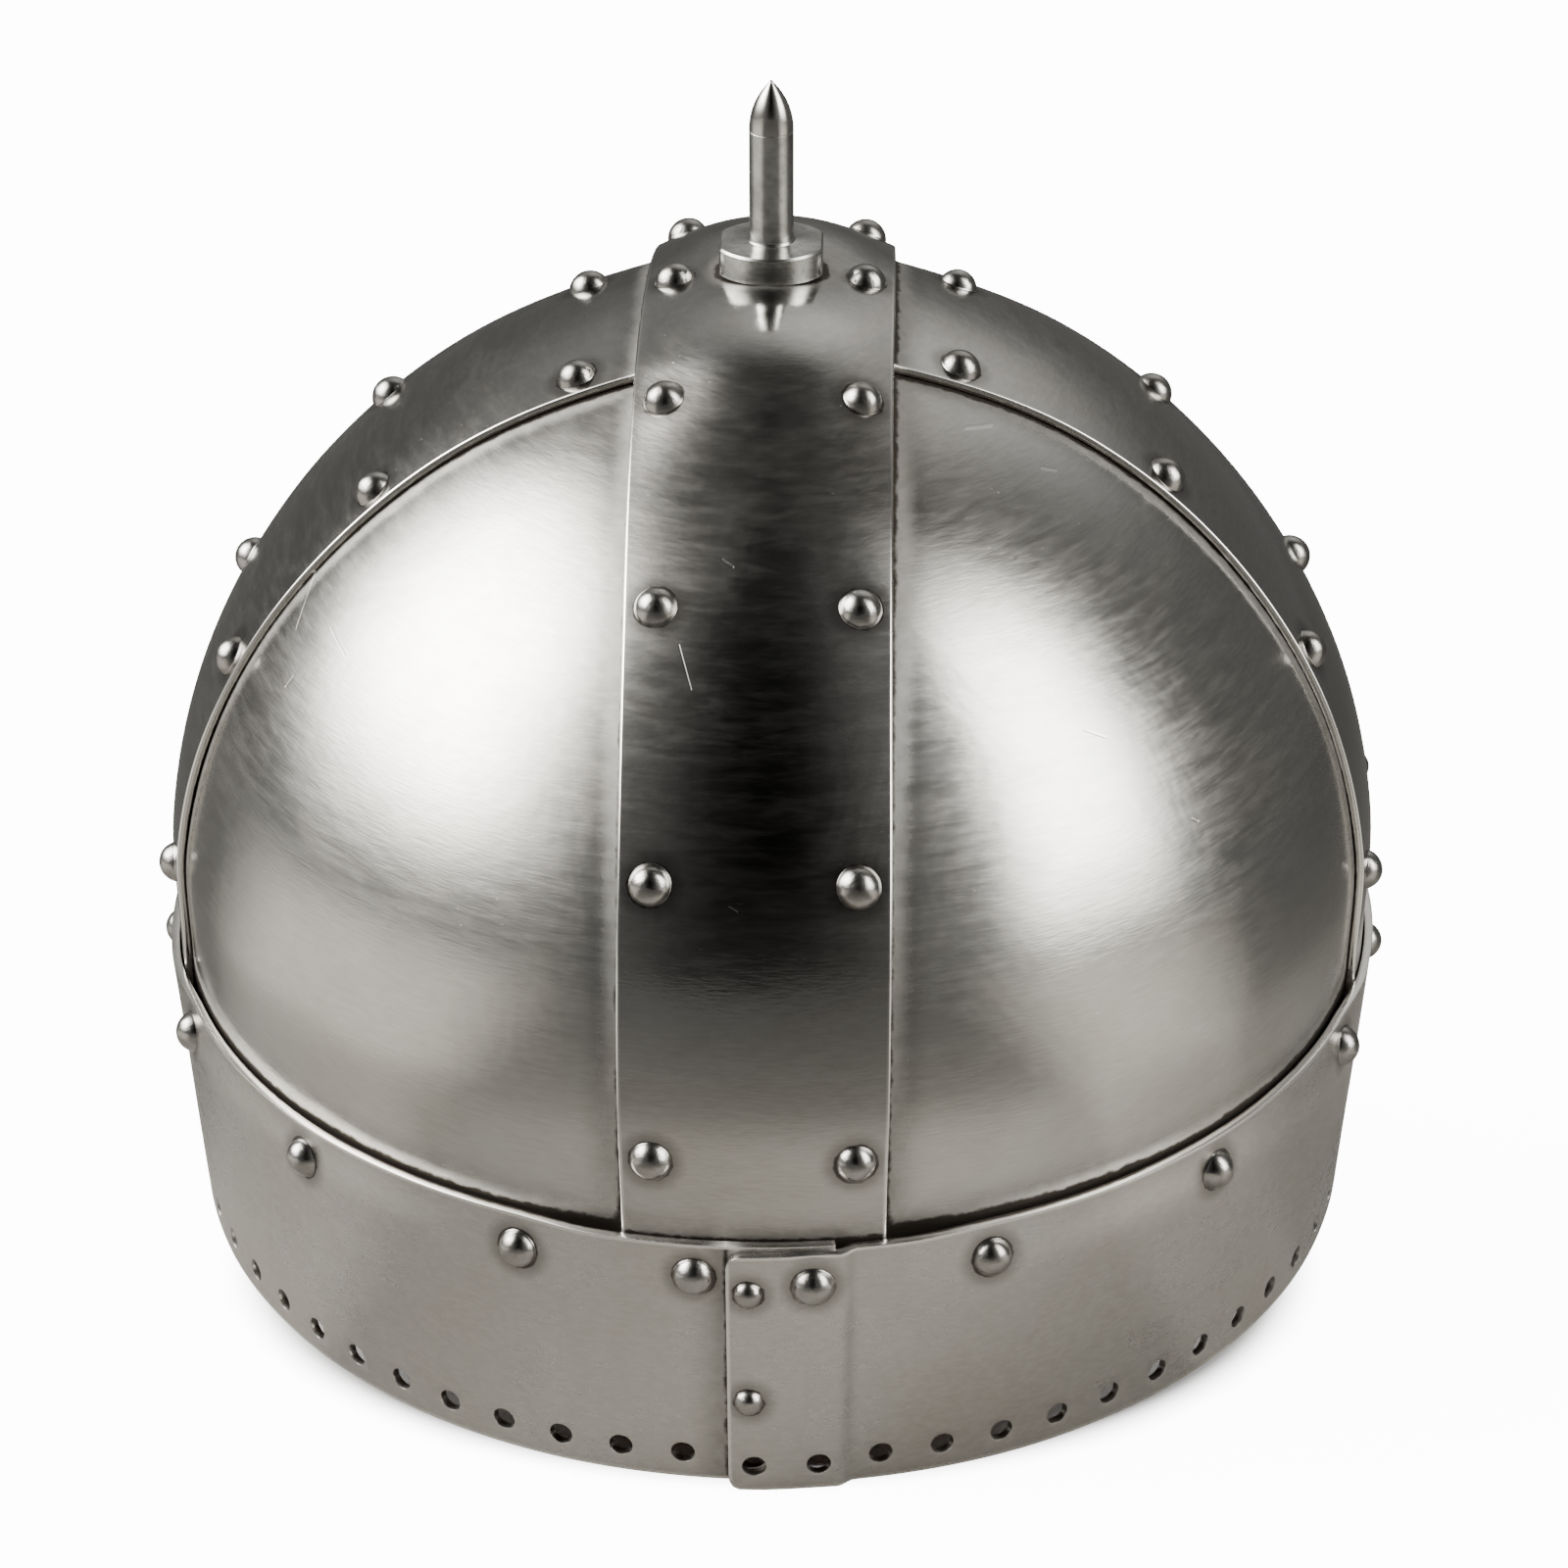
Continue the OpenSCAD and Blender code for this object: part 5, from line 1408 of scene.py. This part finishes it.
finished = node(t, "GeometryNodeSetMaterial", {"Geometry": smooth, "Material": given["Finish"]})
t.links.new(finished.outputs[0], result["Stitches"])

ROWS_AT = (35.2, 38.6)          # heights of the two rows
LINE_STEPS, ROW_SHARE, SUNK = 24, 0.93, 0.12
lines, joins = [], []
for number in range(1, TONGUE_N + 1):
    for height in ROWS_AT:
        reach = TONGUE_A * math.sin(math.acos((height - SEW_Z) / (TONGUE_RISE - LEATHER_T)))
        spread = float(half_turn_of(reach)) * ROW_SHARE
        r = reach * (1 - LEATHER_T / TONGUE_A) - SUNK
        for k in range(LINE_STEPS + 1):
            turn = tongue_middle(number) + spread * (2 * k / LINE_STEPS - 1)
            lines.append((r * math.cos(turn), r * TONGUE_B / TONGUE_A * math.sin(turn), height))
            if k:
                joins.append((len(lines) - 2, len(lines) - 1))
pieces["stitches"] = grown("stitches", sew, np.array(lines), joins, {}, {"Finish": thread})

# %% [markdown]
# The lace draws the eight tips together. It weaves up through one slot and down through the next,
# so its height is a wave with four crests round the crown. It is a thin rolled thong with a slight
# twist, made as a tube along that path.

# %% Lace
LACE_THICK, LACE_SWING, TWIST = 1.2, 3.6, 0.55
RINGS, SIDES = 320, 14


def lace_point(turn):
    s = np.sin(TONGUE_N / 2 * (turn - math.pi / TONGUE_N))
    lift = SEW_Z + TONGUE_RISE * math.sqrt(1 - (LACE_R / TONGUE_A) ** 2) - LEATHER_T / 2
    return np.stack([LACE_R * np.cos(turn), LACE_R * TONGUE_B / TONGUE_A * np.sin(turn),
        lift + LACE_SWING * np.sign(s) * np.abs(s) ** 0.8], -1)


turns = np.arange(RINGS) * 2 * math.pi / RINGS
path, onward = lace_point(turns), lace_point(turns + 0.01) - lace_point(turns - 0.01)
onward /= np.linalg.norm(onward, axis=1, keepdims=True)
sideways = np.cross([0, 0, 1], onward)
sideways /= np.linalg.norm(sideways, axis=1, keepdims=True)
upward = np.cross(onward, sideways)
points, faces = [], []
for i in range(RINGS):
    here, following = i * SIDES, (i + 1) % RINGS * SIDES
    for j in range(SIDES):
        w, n = 2 * math.pi * j / SIDES, (j + 1) % SIDES
        r = LACE_THICK - 0.13 * max(0.0, math.cos(3 * w - i * TWIST)) ** 4
        points.append(path[i] + r * (sideways[i] * math.cos(w) + upward[i] * math.sin(w)))
        faces.append((here + j, here + n, following + n, following + j))
lace = mesh_object("liner_lace", np.array(points), faces,
    {"edge_mm": np.full(len(points), HIDDEN_MM)})
face = lace.data.polygons[0]
if face.normal.dot(face.center - Vector(stood(path[0])[0])) < 0:
    lace.data.flip_normals()
lace.data.shade_smooth()
lace.data.materials.append(lace_hide)
pieces["liner_lace"] = lace
print("lace about", round(sum(np.linalg.norm(path - np.roll(path, 1, axis=0), axis=1))), "mm round")

# %% [markdown]
# Every piece now rides on the one body of the helmet and stands for its CAD node. The washers and
# the nut keep their CAD shape with a new finish.

# %% Ride and replace
triangles = 0
for name, obj in pieces.items():
    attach(obj, "root")
    if name != "stitches":
        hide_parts(name)
    triangles += sum(len(p.vertices) - 2 for p in obj.data.polygons)
print("pieces", len(pieces), "triangles", triangles)
